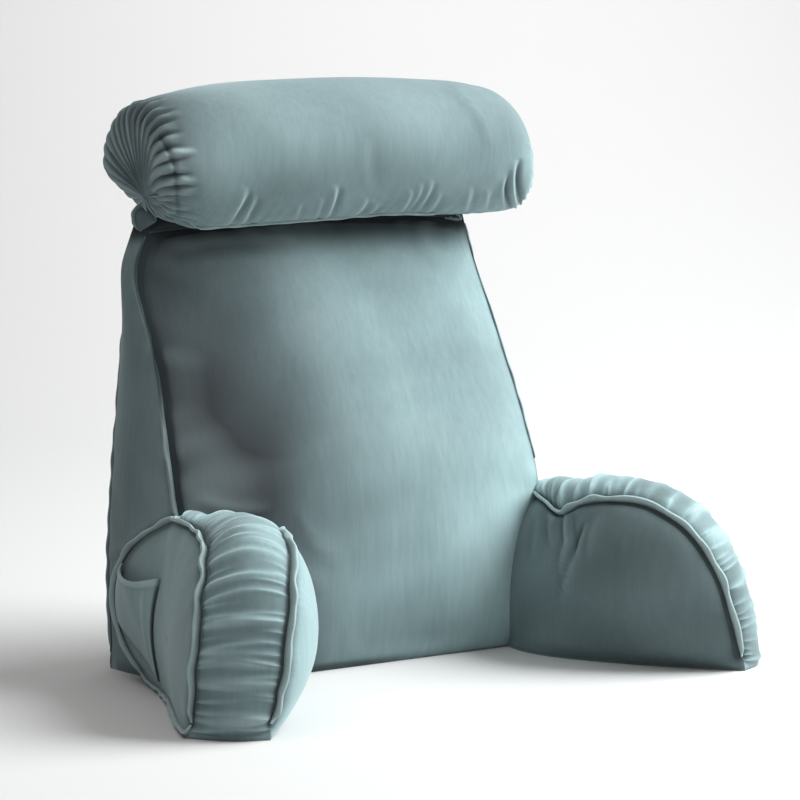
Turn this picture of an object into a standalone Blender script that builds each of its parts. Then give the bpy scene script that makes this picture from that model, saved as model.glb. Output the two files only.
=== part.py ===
"""Reading pillow: a wedge backrest, two splayed arms with gathered bands, a neck roll and a pocket.

Metres, +Z up. The object is laid out with the front panel's bottom edge at y = 0 and the sitter
towards -Y, then moved so that the middle of its footprint is the origin. It is alike on both sides
of x = 0, apart from the pocket and the zip pull, which are on its -X side.
"""

import math

import bpy
import bmesh
import numpy as np
from mathutils import Vector
from mathutils.bvhtree import BVHTree

# Seats and cloth
SEAT = 0.0003            # how close pieces that touch lie to each other
CUT_SEAT = 0.00042       # the same where a piece is cut to fit its neighbour
LIP_SEAT = 0.0004        # the same along a seam lip's foot
ROLL_SEAT = 0.0006       # the same under the neck roll, whose facets cross the backrest's
LIP_HEIGHT = 0.007       # how far a seam lip stands out
LIP_THICK = 0.0026
LIP_PINCH = 0.55         # the lip's thickness at its stitching, of its full thickness
LIP_AWAY = 0.3           # how much a lip leans away from the middle of its piece
CLOTH = 0.0022           # thickness of the pocket's cloth
LOW = 0.004              # what lies lower than this belongs to the floor's edge

# Backrest: the seams of its front and back panels, a row for each height
# columns: height, half width, place front to back
FRONT_SEAM = [
    (0.003, 0.199, 0.001),
    (0.060, 0.211, -0.001),
    (0.120, 0.226, 0.005),
    (0.185, 0.238, 0.016),
    (0.240, 0.234, 0.034),
    (0.320, 0.228, 0.066),
    (0.400, 0.218, 0.097),
    (0.440, 0.212, 0.110),
    (0.465, 0.205, 0.113),
]
BACK_SEAM = [
    (0.003, 0.240, 0.148),
    (0.060, 0.239, 0.156),
    (0.120, 0.237, 0.160),
    (0.185, 0.234, 0.158),
    (0.240, 0.230, 0.155),
    (0.320, 0.224, 0.152),
    (0.400, 0.216, 0.150),
    (0.440, 0.211, 0.150),
    (0.468, 0.203, 0.149),
]
FRONT_MIDDLE = (0.0, 0.044, 0.235)
BACK_MIDDLE = (0.0, 0.155, 0.235)
LIP_START = 0.203        # the front seam lip begins at this height, above the arms
CORNER_START = 0.425     # the folded top corners begin at this height
CORNER_EASE = 0.0012     # how much further off the seam lips keep there
FRONT_CROWN = 0.038
BACK_CROWN = 0.030
GUSSET_CROWN = 0.012     # how far the sides swell between the two seams
TOP_CROWN = 0.0145       # how far the top does
CROWN_HALF = 0.2         # the sides' swell fades out from this half width inwards
TOP_START = (0.435, 0.460)        # the top's swell fades in between these heights
FLOOR_BAND = 0.012       # what lies lower than this between the seams is part of the flat base
FRONT_OUT = (0.0, -0.93, 0.36)    # the way the front panel bulges
TOP_ARCH = 0.006         # how far the top seams rise half way across
SIDE_STATIONS = 15
ACROSS_STATIONS = 13
PANEL_RINGS = 5
GUSSET_RINGS = 3
SOFTEN = 6               # how often the panels' points are evened out

# Arms: each starts almost straight ahead at the backrest and curves outwards to its tip
ARM_ROOT_X = 0.197       # where its inner face meets the floor at the backrest
ARM_ROOT_ANGLE = math.radians(5.0)
ARM_TIP_ANGLE = math.radians(41.0)
ARM_LENGTH = 0.284
# The outline over the arm's top and front, from the backrest to the tip
# columns: along, inner seam's height, inner seam's place across, outer seam's height, its place across
ARM_TOP = [
    (-0.010, 0.167, 0.034, 0.178, 0.048),
    (0.030, 0.167, 0.010, 0.181, 0.058),
    (0.074, 0.158, -0.011, 0.181, 0.060),
    (0.102, 0.172, -0.018, 0.179, 0.060),
    (0.140, 0.180, -0.021, 0.176, 0.061),
    (0.180, 0.178, -0.022, 0.170, 0.063),
    (0.215, 0.162, -0.023, 0.155, 0.066),
    (0.240, 0.138, -0.023, 0.133, 0.068),
    (0.261, 0.101, -0.021, 0.100, 0.070),
    (0.274, 0.060, -0.017, 0.060, 0.072),
    (0.281, 0.025, -0.010, 0.025, 0.074),
    (0.284, 0.003, -0.004, 0.003, 0.076),
]
# The outline down the arm's rear, from the backrest's front seam to the floor, with the same columns
ARM_REAR = [
    (-0.010, 0.167, 0.034, 0.178, 0.048),
    (-0.043, 0.154, 0.030, 0.162, 0.060),
    (-0.074, 0.133, 0.028, 0.139, 0.069),
    (-0.091, 0.102, 0.026, 0.105, 0.075),
    (-0.081, 0.060, 0.020, 0.060, 0.077),
    (-0.054, 0.027, 0.010, 0.027, 0.074),
    (-0.026, 0.003, 0.000, 0.003, 0.066),
]
ARM_MIDDLE = (0.128, 0.074)
ARM_BASE_SWELL = (0.026, 0.017)   # how far the base bows inwards and outwards
ARM_BASE_SKEW = (2.2, 0.75)       # over 1 moves that bow's peak towards the root, under 1 to the tip
ARM_LIP_START = 0.085    # where the seam lips begin and end, along the band
ARM_LIP_END = 0.985
ARM_LIP_EASE = 0.0010    # how much further off the arm the lips start, in the seam's dip
ARM_LIP_DIP = 0.22       # the dip ends here, along the band
ARM_INNER_CROWN = 0.040
ARM_OUTER_CROWN = 0.027
ARM_BAND_CROWN = 0.0185
ARM_BAND_LOW = 0.012     # what lies lower than this between the seams is part of the flat base
ARM_ROOT_FADE = (0.12, 0.45)      # the band's crown grows over this share, from this part of it
ARM_TIP_FADE = 0.10
ARM_TOP_STATIONS = 58
ARM_REAR_STATIONS = 12
ARM_BASE_STATIONS = 11
ARM_PANEL_RINGS = 4
ARM_BAND_RINGS = 5
GATHERS = 21             # gathers along one band
GATHER_DEPTH = 0.0042
GATHER_SPREAD = 0.35     # how unevenly the gathers are spaced
GATHER_SLANT = 0.8       # how much they slant from seam to seam
GATHER_FADE = (0.06, 0.05)        # they fade in and out over these shares of the band
GATHER_SOFT = 0.45       # how much shallower they are half way between the seams

# Neck roll
ROLL_Y = 0.090
ROLL_START_Z = 0.640     # lowered from here until it rests on the backrest
# Its sections from the gathered left end to the right one
# columns: place along the roll, radius, how far its centre lies below the middle's
ROLL = [
    (-0.201, 0.003, 0.040),
    (-0.215, 0.016, 0.033),
    (-0.229, 0.031, 0.027),
    (-0.239, 0.045, 0.021),
    (-0.242, 0.054, 0.017),
    (-0.236, 0.0615, 0.014),
    (-0.220, 0.0670, 0.012),
    (-0.190, 0.0715, 0.010),
    (-0.110, 0.0757, 0.004),
    (0.000, 0.0762, 0.000),
    (0.120, 0.0748, 0.001),
    (0.188, 0.0720, 0.004),
    (0.221, 0.0675, 0.008),
    (0.237, 0.0605, 0.014),
    (0.245, 0.0510, 0.021),
    (0.247, 0.0400, 0.028),
    (0.244, 0.0280, 0.034),
    (0.238, 0.0150, 0.040),
    (0.232, 0.003, 0.044),
]
ROLL_SECTIONS = 29
ROLL_SPOKES = 54
ROLL_PLEATS = 14
PLEAT_DEPTH = 0.0055
PLEAT_SPREAD = 1.3       # how unevenly the pleats are spaced
PLEAT_START = 0.165      # they fade in from here towards each end
PLEAT_FULL = 0.235
PLEAT_SHARE = 0.3        # a pleat is never deeper than this part of the radius
ROLL_LEFT_TILT = 0.80    # how far the lower half of the left end is drawn in
ROLL_SEAM_SPOKE = 39     # the seam under the roll runs along this spoke
ROLL_LIP_REACH = 0.064   # its lip ends where the roll's radius falls below this

# Pocket on the left arm's outer panel, in the arm's own along and height
POCKET_INSET = 0.011     # its rear edge, from the arm's rear seam
POCKET_FRONT = 0.043
POCKET_LOW = 0.018
POCKET_HIGH = 0.124
POCKET_DIP = 0.010       # how far the mouth's lip sags
POCKET_RISE = 0.046      # how much higher its lower edge is at the rear
POCKET_GAPE = 0.013      # how far the mouth's lip stands off the panel
POCKET_FULL = 0.7        # below 1 the lip stands off nearly as much beside its corners
POCKET_SLACK = 1.6       # above 1 the pocket stays close to the panel low down
POCKET_STEPS = 12
POCKET_SEAT = 0.0009     # gap under its sewn edges, which follow a faceted panel

# Zip pull
PULL_SIZE = (0.0018, 0.0046, 0.0125)
PULL_Y = 0.080
PULL_LOW = 0.0035        # its lower end above the floor
PULL_EDGE = 0.0005

# Colours, from the photograph's mid tones
VELVET = (0.225, 0.315, 0.325, 1.0)
VELVET_LIP = (0.30, 0.39, 0.40, 1.0)
METAL = (0.62, 0.63, 0.65, 1.0)


def start_afresh():
    for old in list(bpy.data.objects):
        bpy.data.objects.remove(old, do_unlink=True)


def collection(name):
    made = bpy.data.collections.new(name)
    bpy.context.scene.collection.children.link(made)
    return made


def material(name, colour, roughness, metallic=0.0):
    made = bpy.data.materials.new(name)
    made.use_nodes = True
    shader = made.node_tree.nodes["Principled BSDF"]
    shader.inputs["Base Color"].default_value = colour
    shader.inputs["Roughness"].default_value = roughness
    shader.inputs["Metallic"].default_value = metallic
    return made


def through(rows, count):
    """Points evenly spaced along a smooth curve through the rows."""
    rows = np.asarray(rows, float)
    steps = np.linalg.norm(np.diff(rows, axis=0), axis=1)
    at = np.concatenate([[0.0], np.cumsum(steps)])
    slope = np.gradient(rows, at, axis=0)
    where = np.linspace(0.0, at[-1], count)
    row = np.clip(np.searchsorted(at, where, side="right") - 1, 0, len(at) - 2)
    span = (at[row + 1] - at[row])[:, None]
    t = (where - at[row])[:, None] / span
    start = rows[row] * (2 * t**3 - 3 * t**2 + 1) + slope[row] * span * (t**3 - 2 * t**2 + t)
    end = rows[row + 1] * (3 * t**2 - 2 * t**3) + slope[row + 1] * span * (t**3 - t**2)
    return start + end


def unit(vectors):
    return vectors / np.maximum(np.linalg.norm(vectors, axis=-1, keepdims=True), 1e-9)


def mesh_object(name, points, faces, finish, home, smooth=60):
    """One object from points and faces, its faces turned outwards and shaded smooth."""
    mesh = bpy.data.meshes.new(name)
    mesh.from_pydata([tuple(p) for p in points], [], faces)
    work = bmesh.new()
    work.from_mesh(mesh)
    bmesh.ops.triangulate(work, faces=work.faces, quad_method="FIXED")
    bmesh.ops.recalc_face_normals(work, faces=work.faces)
    work.to_mesh(mesh)
    work.free()
    mesh.shade_smooth()
    mesh.set_sharp_from_angle(angle=math.radians(smooth))
    mesh.materials.append(finish)
    made = bpy.data.objects.new(name, mesh)
    home.objects.link(made)
    return made


def lofted(name, rings, first, last, finish, home, soft=0):
    """A closed solid from rings with the same number of points and a middle point at each end.

    The soft count of rings next to each middle is evened out, so that a panel has no ribs.
    """
    count = len(rings[0])
    points = [first]
    for ring in rings:
        points.extend(ring)
    points.append(last)
    faces = []
    for k in range(count):
        after = (k + 1) % count
        faces.append((0, 1 + after, 1 + k))
        tail = 1 + (len(rings) - 1) * count
        faces.append((tail + k, tail + after, len(points) - 1))
    for ring in range(len(rings) - 1):
        here = 1 + ring * count
        there = here + count
        for k in range(count):
            after = (k + 1) % count
            faces.append((here + k, here + after, there + after, there + k))
    made = mesh_object(name, points, faces, finish, home)
    if soft:
        even_out(made.data, 1 + soft * count)
    return made


def even_out(mesh, share):
    """Even out the first and last points of a mesh, keeping those on the floor there."""
    work = bmesh.new()
    work.from_mesh(mesh)
    work.verts.ensure_lookup_table()
    last = len(work.verts)
    chosen = [v for v in work.verts if (v.index < share or v.index >= last - share) and v.co.z > 0.001]
    for _ in range(SOFTEN):
        bmesh.ops.smooth_vert(work, verts=chosen, factor=0.5, use_axis_x=True, use_axis_y=True,
                              use_axis_z=True)
    work.to_mesh(mesh)
    work.free()


def panel_rings(seam, middle, outwards, crown, rings, round_off=0.8):
    """Rings from near a panel's middle out to its seam, raised by the crown."""
    made = []
    for k in range(1, rings + 1):
        share = k / rings
        spread = middle + (seam - middle) * share
        made.append(spread + outwards * crown * (1 - share**2) ** round_off)
    return made


def backrest_seam(rows):
    """One seam of the backrest as a loop: up its +X side, over the top, down its -X side, back."""
    side = through(rows, SIDE_STATIONS)
    up = np.stack([side[:, 1], side[:, 2], side[:, 0]], axis=1)
    down = up[::-1] * np.array([-1.0, 1.0, 1.0])
    arch = np.sin(np.linspace(0, math.pi, ACROSS_STATIONS))[1:-1, None]
    across = np.linspace(up[-1], down[0], ACROSS_STATIONS)[1:-1] + arch * np.array([0.0, 0.0, TOP_ARCH])
    below = np.linspace(down[-1], up[0], ACROSS_STATIONS)[1:-1]
    return np.concatenate([up, across, down, below])


def backrest_rings():
    """Every ring of the backrest, from the front panel over the gusset to the back panel."""
    front = backrest_seam(FRONT_SEAM)
    back = backrest_seam(BACK_SEAM)
    front_middle = np.array(FRONT_MIDDLE)
    back_middle = np.array(BACK_MIDDLE)
    forwards = unit(np.array(FRONT_OUT))
    backwards = np.array([0.0, 1.0, 0.0])
    rings = panel_rings(front, front_middle, forwards, FRONT_CROWN, PANEL_RINGS)
    for k in range(1, GUSSET_RINGS + 1):
        share = k / (GUSSET_RINGS + 1)
        between = front + (back - front) * share
        swell = math.sin(math.pi * share)
        outer_part = np.clip(np.abs(between[:, 0]) / CROWN_HALF, 0, 1) ** 6
        over_top = np.clip((between[:, 2] - TOP_START[0]) / (TOP_START[1] - TOP_START[0]), 0, 1)
        out = np.zeros_like(between)
        out[:, 0] = np.sign(between[:, 0]) * GUSSET_CROWN * outer_part * (1 - over_top / 2)
        out[:, 2] = TOP_CROWN * over_top
        between = between + out * swell
        between[:, 2] = np.where(between[:, 2] < FLOOR_BAND, 0.0, between[:, 2])
        rings.append(between)
    rings.extend(reversed(panel_rings(back, back_middle, backwards, BACK_CROWN, PANEL_RINGS)))
    for ring in rings:
        ring[:, 2] = np.maximum(ring[:, 2], 0.0)
    return rings, front_middle + forwards * FRONT_CROWN, back_middle + backwards * BACK_CROWN


def build_backrest(finish, home):
    rings, first, last = backrest_rings()
    return lofted("backrest", rings, first, last, finish, home, soft=PANEL_RINGS - 1)


def arm_to_world(local, side):
    """Points given along, across and up a curving arm, set out from its root on the given side."""
    local = np.asarray(local, float)
    turn = (ARM_TIP_ANGLE - ARM_ROOT_ANGLE) / ARM_LENGTH
    on_curve = np.clip(local[:, 0], 0.0, ARM_LENGTH)
    beyond = local[:, 0] - on_curve
    angle = ARM_ROOT_ANGLE + turn * on_curve
    x = ARM_ROOT_X - (np.cos(angle) - math.cos(ARM_ROOT_ANGLE)) / turn + beyond * np.sin(angle)
    y = -(np.sin(angle) - math.sin(ARM_ROOT_ANGLE)) / turn - beyond * np.cos(angle)
    x = x + local[:, 1] * np.cos(angle)
    y = y + local[:, 1] * np.sin(angle)
    return np.stack([side * x, y, local[:, 2]], axis=1)


def arm_seams():
    """The inner and outer seam loops, and where each point lies along the gathered band."""
    top = through(ARM_TOP, ARM_TOP_STATIONS)
    rear = through(ARM_REAR, ARM_REAR_STATIONS)[1:][::-1]
    base = np.linspace(top[-1], rear[0], ARM_BASE_STATIONS)[1:-1]
    from_tip = np.linspace(0, 1, ARM_BASE_STATIONS)[1:-1]
    base[:, 2] -= ARM_BASE_SWELL[0] * np.sin(math.pi * from_tip**ARM_BASE_SKEW[0])
    base[:, 4] += ARM_BASE_SWELL[1] * np.sin(math.pi * from_tip**ARM_BASE_SKEW[1])
    rows = np.concatenate([top, base, rear])
    inner = rows[:, [0, 2, 1]]
    outer = rows[:, [0, 4, 3]]
    along_band = np.full(len(rows), -1.0)
    along_band[:len(top)] = np.linspace(0, 1, len(top))
    return inner, outer, along_band


def gather(along_band, share):
    """Height of the band's gathers: sharp at both seams, softer and fading in the middle."""
    inside = along_band >= 0
    drift = GATHER_SPREAD * np.sin(5 * math.pi * along_band)
    drift += GATHER_SLANT * share * np.sin(3 * along_band)
    wave = np.sin(2 * math.pi * (GATHERS * along_band + drift))
    fade = np.clip(along_band / GATHER_FADE[0], 0, 1) * np.clip((1 - along_band) / GATHER_FADE[1], 0, 1)
    strength = 1 - GATHER_SOFT * math.sin(math.pi * share)
    return np.where(inside, GATHER_DEPTH * strength * fade * wave, 0.0)


def arm_rings():
    """Every ring of an arm in its own frame, from the inner panel to the outer one."""
    inner, outer, along_band = arm_seams()
    inner_middle = np.array([ARM_MIDDLE[0], inner[:, 1].mean(), ARM_MIDDLE[1]])
    outer_middle = np.array([ARM_MIDDLE[0], outer[:, 1].mean(), ARM_MIDDLE[1]])
    inwards = np.array([0.0, -1.0, 0.0])
    rings = panel_rings(inner, inner_middle, inwards, ARM_INNER_CROWN, ARM_PANEL_RINGS)
    radial = inner - inner_middle
    radial[:, 1] = 0.0
    radial = unit(radial)
    for k in range(1, ARM_BAND_RINGS + 1):
        share = k / (ARM_BAND_RINGS + 1)
        between = inner + (outer - inner) * share
        swell = ARM_BAND_CROWN * math.sin(math.pi * share) ** 0.8
        ends = np.clip(along_band / ARM_ROOT_FADE[0], ARM_ROOT_FADE[1], 1)
        ends = ends * np.clip((1 - along_band) / ARM_TIP_FADE, 0, 1)
        lift = np.where(along_band >= 0, swell * ends, 0.0) + gather(along_band, share)
        on_base = (along_band < 0) & (between[:, 2] < ARM_BAND_LOW)
        between = between + radial * lift[:, None]
        low = on_base | (between[:, 2] < ARM_BAND_LOW)
        between[:, 2] = np.where(low, 0.0, between[:, 2])
        rings.append(between)
    rings.extend(reversed(panel_rings(outer, outer_middle, -inwards, ARM_OUTER_CROWN, ARM_PANEL_RINGS)))
    for ring in rings:
        ring[:, 2] = np.maximum(ring[:, 2], 0.0)
    return rings, inner_middle + inwards * ARM_INNER_CROWN, outer_middle - inwards * ARM_OUTER_CROWN


def build_arm(name, side, finish, home):
    rings, first, last = arm_rings()
    placed = [arm_to_world(ring, side) for ring in rings]
    first = arm_to_world(first[None], side)[0]
    last = arm_to_world(last[None], side)[0]
    return lofted(name, placed, first, last, finish, home, soft=ARM_PANEL_RINGS - 1)


def cut_clear(piece, neighbour, cutters):
    """Cut a piece where it would run into its neighbour, leaving the seat's gap."""
    mesh = neighbour.data.copy()
    cutter = bpy.data.objects.new(piece.name + "_cutter", mesh)
    cutters.objects.link(cutter)
    normals = [vertex.normal.copy() for vertex in mesh.vertices]
    for vertex, normal in zip(mesh.vertices, normals):
        vertex.co = vertex.co + normal * CUT_SEAT
        if vertex.co.z < LOW:
            vertex.co.z = -LOW
    cutter.hide_render = True
    cutter.display_type = "WIRE"
    cut = piece.modifiers.new("clear_of_" + neighbour.name, "BOOLEAN")
    cut.object = cutter
    cut.operation = "DIFFERENCE"
    return cutter


def roll_rings():
    """The neck roll's sections, pleated towards both gathered ends."""
    angle = np.linspace(0, 2 * math.pi, ROLL_SPOKES, endpoint=False)
    from_seam = angle - angle[ROLL_SEAM_SPOKE]
    pleat = np.cos(ROLL_PLEATS * from_seam + PLEAT_SPREAD * np.sin(2 * from_seam))
    rings = []
    for x, radius, drop in through(ROLL, ROLL_SECTIONS):
        past = np.clip((abs(x) - PLEAT_START) / (PLEAT_FULL - PLEAT_START), 0, 1)
        reach = radius + pleat * min(PLEAT_DEPTH * past, radius * PLEAT_SHARE)
        up = reach * np.sin(angle)
        drawn_in = ROLL_LEFT_TILT * past * np.clip(-up, 0, None) if x < 0 else 0.0 * up
        rings.append(np.stack([x + drawn_in, reach * np.cos(angle), up - drop], axis=1))
    return rings


def build_roll(finish, home):
    rings = roll_rings()
    return lofted("bolster", rings[1:-1], rings[0].mean(axis=0), rings[-1].mean(axis=0), finish, home)


def surface(piece):
    """A search tree of a piece's evaluated mesh, in world space."""
    graph = bpy.context.evaluated_depsgraph_get()
    return BVHTree.FromObject(piece, graph)


def settle(piece, below, start):
    """Lower a piece onto what lies under it, and leave the seat's gap."""
    floor = surface(below)
    own = surface(piece)
    drop = 10.0
    for vertex in piece.data.vertices:
        from_point = vertex.co + start
        hit = floor.ray_cast(from_point, Vector((0, 0, -1)))
        if hit[0] is not None:
            drop = min(drop, hit[3])
    for vertex in below.data.vertices:
        hit = own.ray_cast(vertex.co - start, Vector((0, 0, 1)))
        if hit[0] is not None:
            drop = min(drop, hit[3])
    shift = start - Vector((0, 0, drop - ROLL_SEAT))
    for vertex in piece.data.vertices:
        vertex.co = vertex.co + shift
    piece.data.update()
    return shift


def ribbon(name, base, outwards, finish, home, ease=0.0):
    """A seam lip: a strip standing on a seam, pinched at the stitching, its foot a gap off it.

    The ease, one value or one for each point, is how much further off a folded corner keeps it.
    """
    base = np.asarray(base, float)
    outwards = unit(np.asarray(outwards, float))
    sideways = unit(np.cross(unit(np.gradient(base, axis=0)), outwards))
    off = LIP_SEAT + np.broadcast_to(ease, len(base))[:, None]
    foot = base + outwards * off
    half = sideways * LIP_THICK / 2
    top = foot + outwards * LIP_HEIGHT
    corners = [foot - half * LIP_PINCH, foot + half * LIP_PINCH, top + half, top - half]
    points = np.stack(corners, axis=1).reshape(-1, 3)
    count = len(base)
    faces = []
    for k in range(count - 1):
        here = 4 * k
        there = here + 4
        for side in range(4):
            nxt = (side + 1) % 4
            faces.append((here + side, here + nxt, there + nxt, there + side))
    end = 4 * (count - 1)
    faces.append((3, 2, 1, 0))
    faces.append((end, end + 1, end + 2, end + 3))
    return mesh_object(name, points, faces, finish, home, smooth=50)


def lip_direction(rings, seam):
    """Straight out of a seam: away from the rings on both sides of it and from the middle."""
    before = unit(rings[seam - 1] - rings[seam])
    after = unit(rings[seam + 1] - rings[seam])
    away = unit(rings[seam] - np.mean(rings, axis=(0, 1)))
    return unit(LIP_AWAY * away - before - after)


def build_backrest_lips(finish, home):
    """Seam lips up both sides of the front panel, above the arms, and round the back panel."""
    rings, _, _ = backrest_rings()
    front = PANEL_RINGS - 1
    back = PANEL_RINGS + GUSSET_RINGS
    right_side = slice(0, SIDE_STATIONS)
    left_side = slice(SIDE_STATIONS + ACROSS_STATIONS - 2, 2 * SIDE_STATIONS + ACROSS_STATIONS - 2)
    for name, stations in (("left", left_side), ("right", right_side)):
        seam = rings[front][stations]
        above_arms = seam[:, 2] > LIP_START
        out = lip_direction(rings, front)[stations]
        at_corner = np.where(seam[above_arms, 2] > CORNER_START, CORNER_EASE, 0.0)
        ribbon("backrest_" + name + "_welt", seam[above_arms], out[above_arms], finish, home, at_corner)
    seam = rings[back]
    off_floor = seam[:, 2] > LIP_HEIGHT + LOW
    at_top = np.where(seam[off_floor, 2] > CORNER_START, CORNER_EASE, 0.0)
    ribbon("backrest_back_welt", seam[off_floor], lip_direction(rings, back)[off_floor],
           finish, home, at_top)


def build_arm_lips(side_name, side, finish, home):
    """Seam lips along both edges of a gathered band, clear of the backrest and the floor."""
    rings, _, _ = arm_rings()
    rings = [arm_to_world(ring, side) for ring in rings]
    along_band = arm_seams()[2]
    on_band = (along_band > ARM_LIP_START) & (along_band < ARM_LIP_END)
    inner = ARM_PANEL_RINGS - 1
    outer = ARM_PANEL_RINGS + ARM_BAND_RINGS
    for which, seam in (("inner", inner), ("outer", outer)):
        dip = np.clip((ARM_LIP_DIP - along_band[on_band]) / (ARM_LIP_DIP - ARM_LIP_START), 0, 1)
        ribbon("arm_" + side_name + "_" + which + "_welt", rings[seam][on_band],
               lip_direction(rings, seam)[on_band], finish, home, ARM_LIP_EASE * np.sqrt(dip))


def build_roll_lip(shift, finish, home):
    """The seam lip along the neck roll's underside, towards the sitter."""
    wide = through(ROLL, ROLL_SECTIONS)[:, 1] > ROLL_LIP_REACH
    base = np.array(roll_rings())[wide, ROLL_SEAM_SPOKE] + np.array(shift)
    angle = 2 * math.pi * ROLL_SEAM_SPOKE / ROLL_SPOKES
    out = np.array([0.0, math.cos(angle), math.sin(angle)])
    ribbon("bolster_welt", base, np.tile(out, (len(base), 1)), finish, home)


def pocket_back(height):
    """Where the pocket's rear edge lies: just inside the arm's rear seam."""
    rear = through(ARM_REAR, 40)[::-1]
    return np.interp(height, rear[:, 3], rear[:, 0]) + POCKET_INSET


def build_pocket(arm, finish, home):
    """A sheet over the outer panel: sewn down at its sides and bottom, its top lip standing off."""
    panel = surface(arm)
    up = np.linspace(0.0, 1.0, POCKET_STEPS)
    inner, outer = [], []
    for v in up:
        for k in range(POCKET_STEPS):
            s = k / (POCKET_STEPS - 1)
            height = POCKET_LOW + (POCKET_HIGH - POCKET_LOW - POCKET_DIP * math.sin(math.pi * s)) * v
            height += POCKET_RISE * (1 - v) * (1 - s)
            back = pocket_back(height)
            u = back + (POCKET_FRONT - back) * s
            start = arm_to_world([[u, ARM_LENGTH, height]], -1)[0]
            outside = unit(start - arm_to_world([[u, 0.0, height]], -1)[0])
            hit, normal, _, _ = panel.ray_cast(Vector(start), Vector(-outside))
            lift = POCKET_SEAT + POCKET_GAPE * math.sin(math.pi * s) ** POCKET_FULL * v**POCKET_SLACK
            face = np.array(hit)
            outwards = unit(0.5 * np.array(normal) + 0.5 * outside)
            inner.append(face + outwards * lift)
            outer.append(face + outwards * (lift + CLOTH))
    count = POCKET_STEPS * POCKET_STEPS
    points = inner + outer
    faces = []
    for row in range(POCKET_STEPS - 1):
        for col in range(POCKET_STEPS - 1):
            a = row * POCKET_STEPS + col
            b, c, d = a + 1, a + POCKET_STEPS + 1, a + POCKET_STEPS
            faces.append((a, b, c, d))
            faces.append((count + d, count + c, count + b, count + a))
    rim = [k for k in range(POCKET_STEPS)]
    rim += [(row + 1) * POCKET_STEPS - 1 for row in range(1, POCKET_STEPS)]
    rim += [count - 1 - k for k in range(1, POCKET_STEPS)]
    rim += [row * POCKET_STEPS for row in range(POCKET_STEPS - 2, 0, -1)]
    for k, a in enumerate(rim):
        b = rim[(k + 1) % len(rim)]
        faces.append((b, a, count + a, count + b))
    return mesh_object("pocket", points, faces, finish, home)


def build_zip_pull(backrest, finish, home):
    """A small bevelled tab hanging flat on the left side, just above its bottom seam."""
    bpy.ops.mesh.primitive_cube_add(size=1.0)
    pull = bpy.context.object
    pull.name = "zip_pull"
    pull.data.name = "zip_pull"
    for vertex in pull.data.vertices:
        vertex.co = Vector((vertex.co.x * PULL_SIZE[0], vertex.co.y * PULL_SIZE[1],
                            vertex.co.z * PULL_SIZE[2]))
    side = surface(backrest)
    reach = 0.0
    for high in (PULL_LOW, PULL_LOW + PULL_SIZE[2]):
        for place in (PULL_Y - PULL_SIZE[1] / 2, PULL_Y + PULL_SIZE[1] / 2):
            hit = side.ray_cast(Vector((-1.0, place, high)), Vector((1, 0, 0)))[0]
            reach = min(reach, hit.x)
    pull.location = (reach - SEAT - PULL_SIZE[0] / 2, PULL_Y, PULL_LOW + PULL_SIZE[2] / 2)
    edges = pull.modifiers.new("soft_edges", "BEVEL")
    edges.width = PULL_EDGE
    edges.segments = 1
    pull.data.materials.append(finish)
    for used in list(pull.users_collection):
        used.objects.unlink(pull)
    home.objects.link(pull)
    return pull


def centre_on_footprint(pieces, cutters):
    """Move everything so that the middle of its footprint is the origin."""
    graph = bpy.context.evaluated_depsgraph_get()
    low = np.full(3, 9.0)
    high = np.full(3, -9.0)
    for piece in pieces:
        seen = piece.evaluated_get(graph)
        for vertex in seen.data.vertices:
            place = np.array(seen.matrix_world @ vertex.co)
            low = np.minimum(low, place)
            high = np.maximum(high, place)
    shift = Vector((-(low[0] + high[0]) / 2, -(low[1] + high[1]) / 2, -low[2]))
    for piece in list(pieces) + list(cutters):
        piece.location = piece.location + shift


def main():
    start_afresh()
    home = collection("reading_pillow")
    cutters = collection("cutters")
    velvet = material("velvet", VELVET, 0.85)
    lip = material("velvet_lip", VELVET_LIP, 0.85)
    metal = material("metal", METAL, 0.3, 1.0)
    backrest = build_backrest(velvet, home)
    left = build_arm("arm_left", -1, velvet, home)
    right = build_arm("arm_right", 1, velvet, home)
    cut_clear(left, backrest, cutters)
    cut_clear(right, backrest, cutters)
    bolster = build_roll(velvet, home)
    bpy.context.view_layer.update()
    shift = settle(bolster, backrest, Vector((0, ROLL_Y, ROLL_START_Z)))
    build_roll_lip(shift, lip, home)
    build_backrest_lips(lip, home)
    build_arm_lips("left", -1, lip, home)
    build_arm_lips("right", 1, lip, home)
    build_pocket(left, velvet, home)
    build_zip_pull(backrest, metal, home)
    bpy.context.view_layer.update()
    centre_on_footprint(list(home.objects), list(cutters.objects))


main()
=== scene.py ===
"""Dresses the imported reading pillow: velvet cushions with gathers, pleats, folds and seam lips.

Metres, +Z up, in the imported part's own frame. Sections and seams repeat the part's named sizes.
"""

import math

import bpy
import numpy as np
from mathutils import Matrix, Vector
from mathutils.bvhtree import BVHTree

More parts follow.
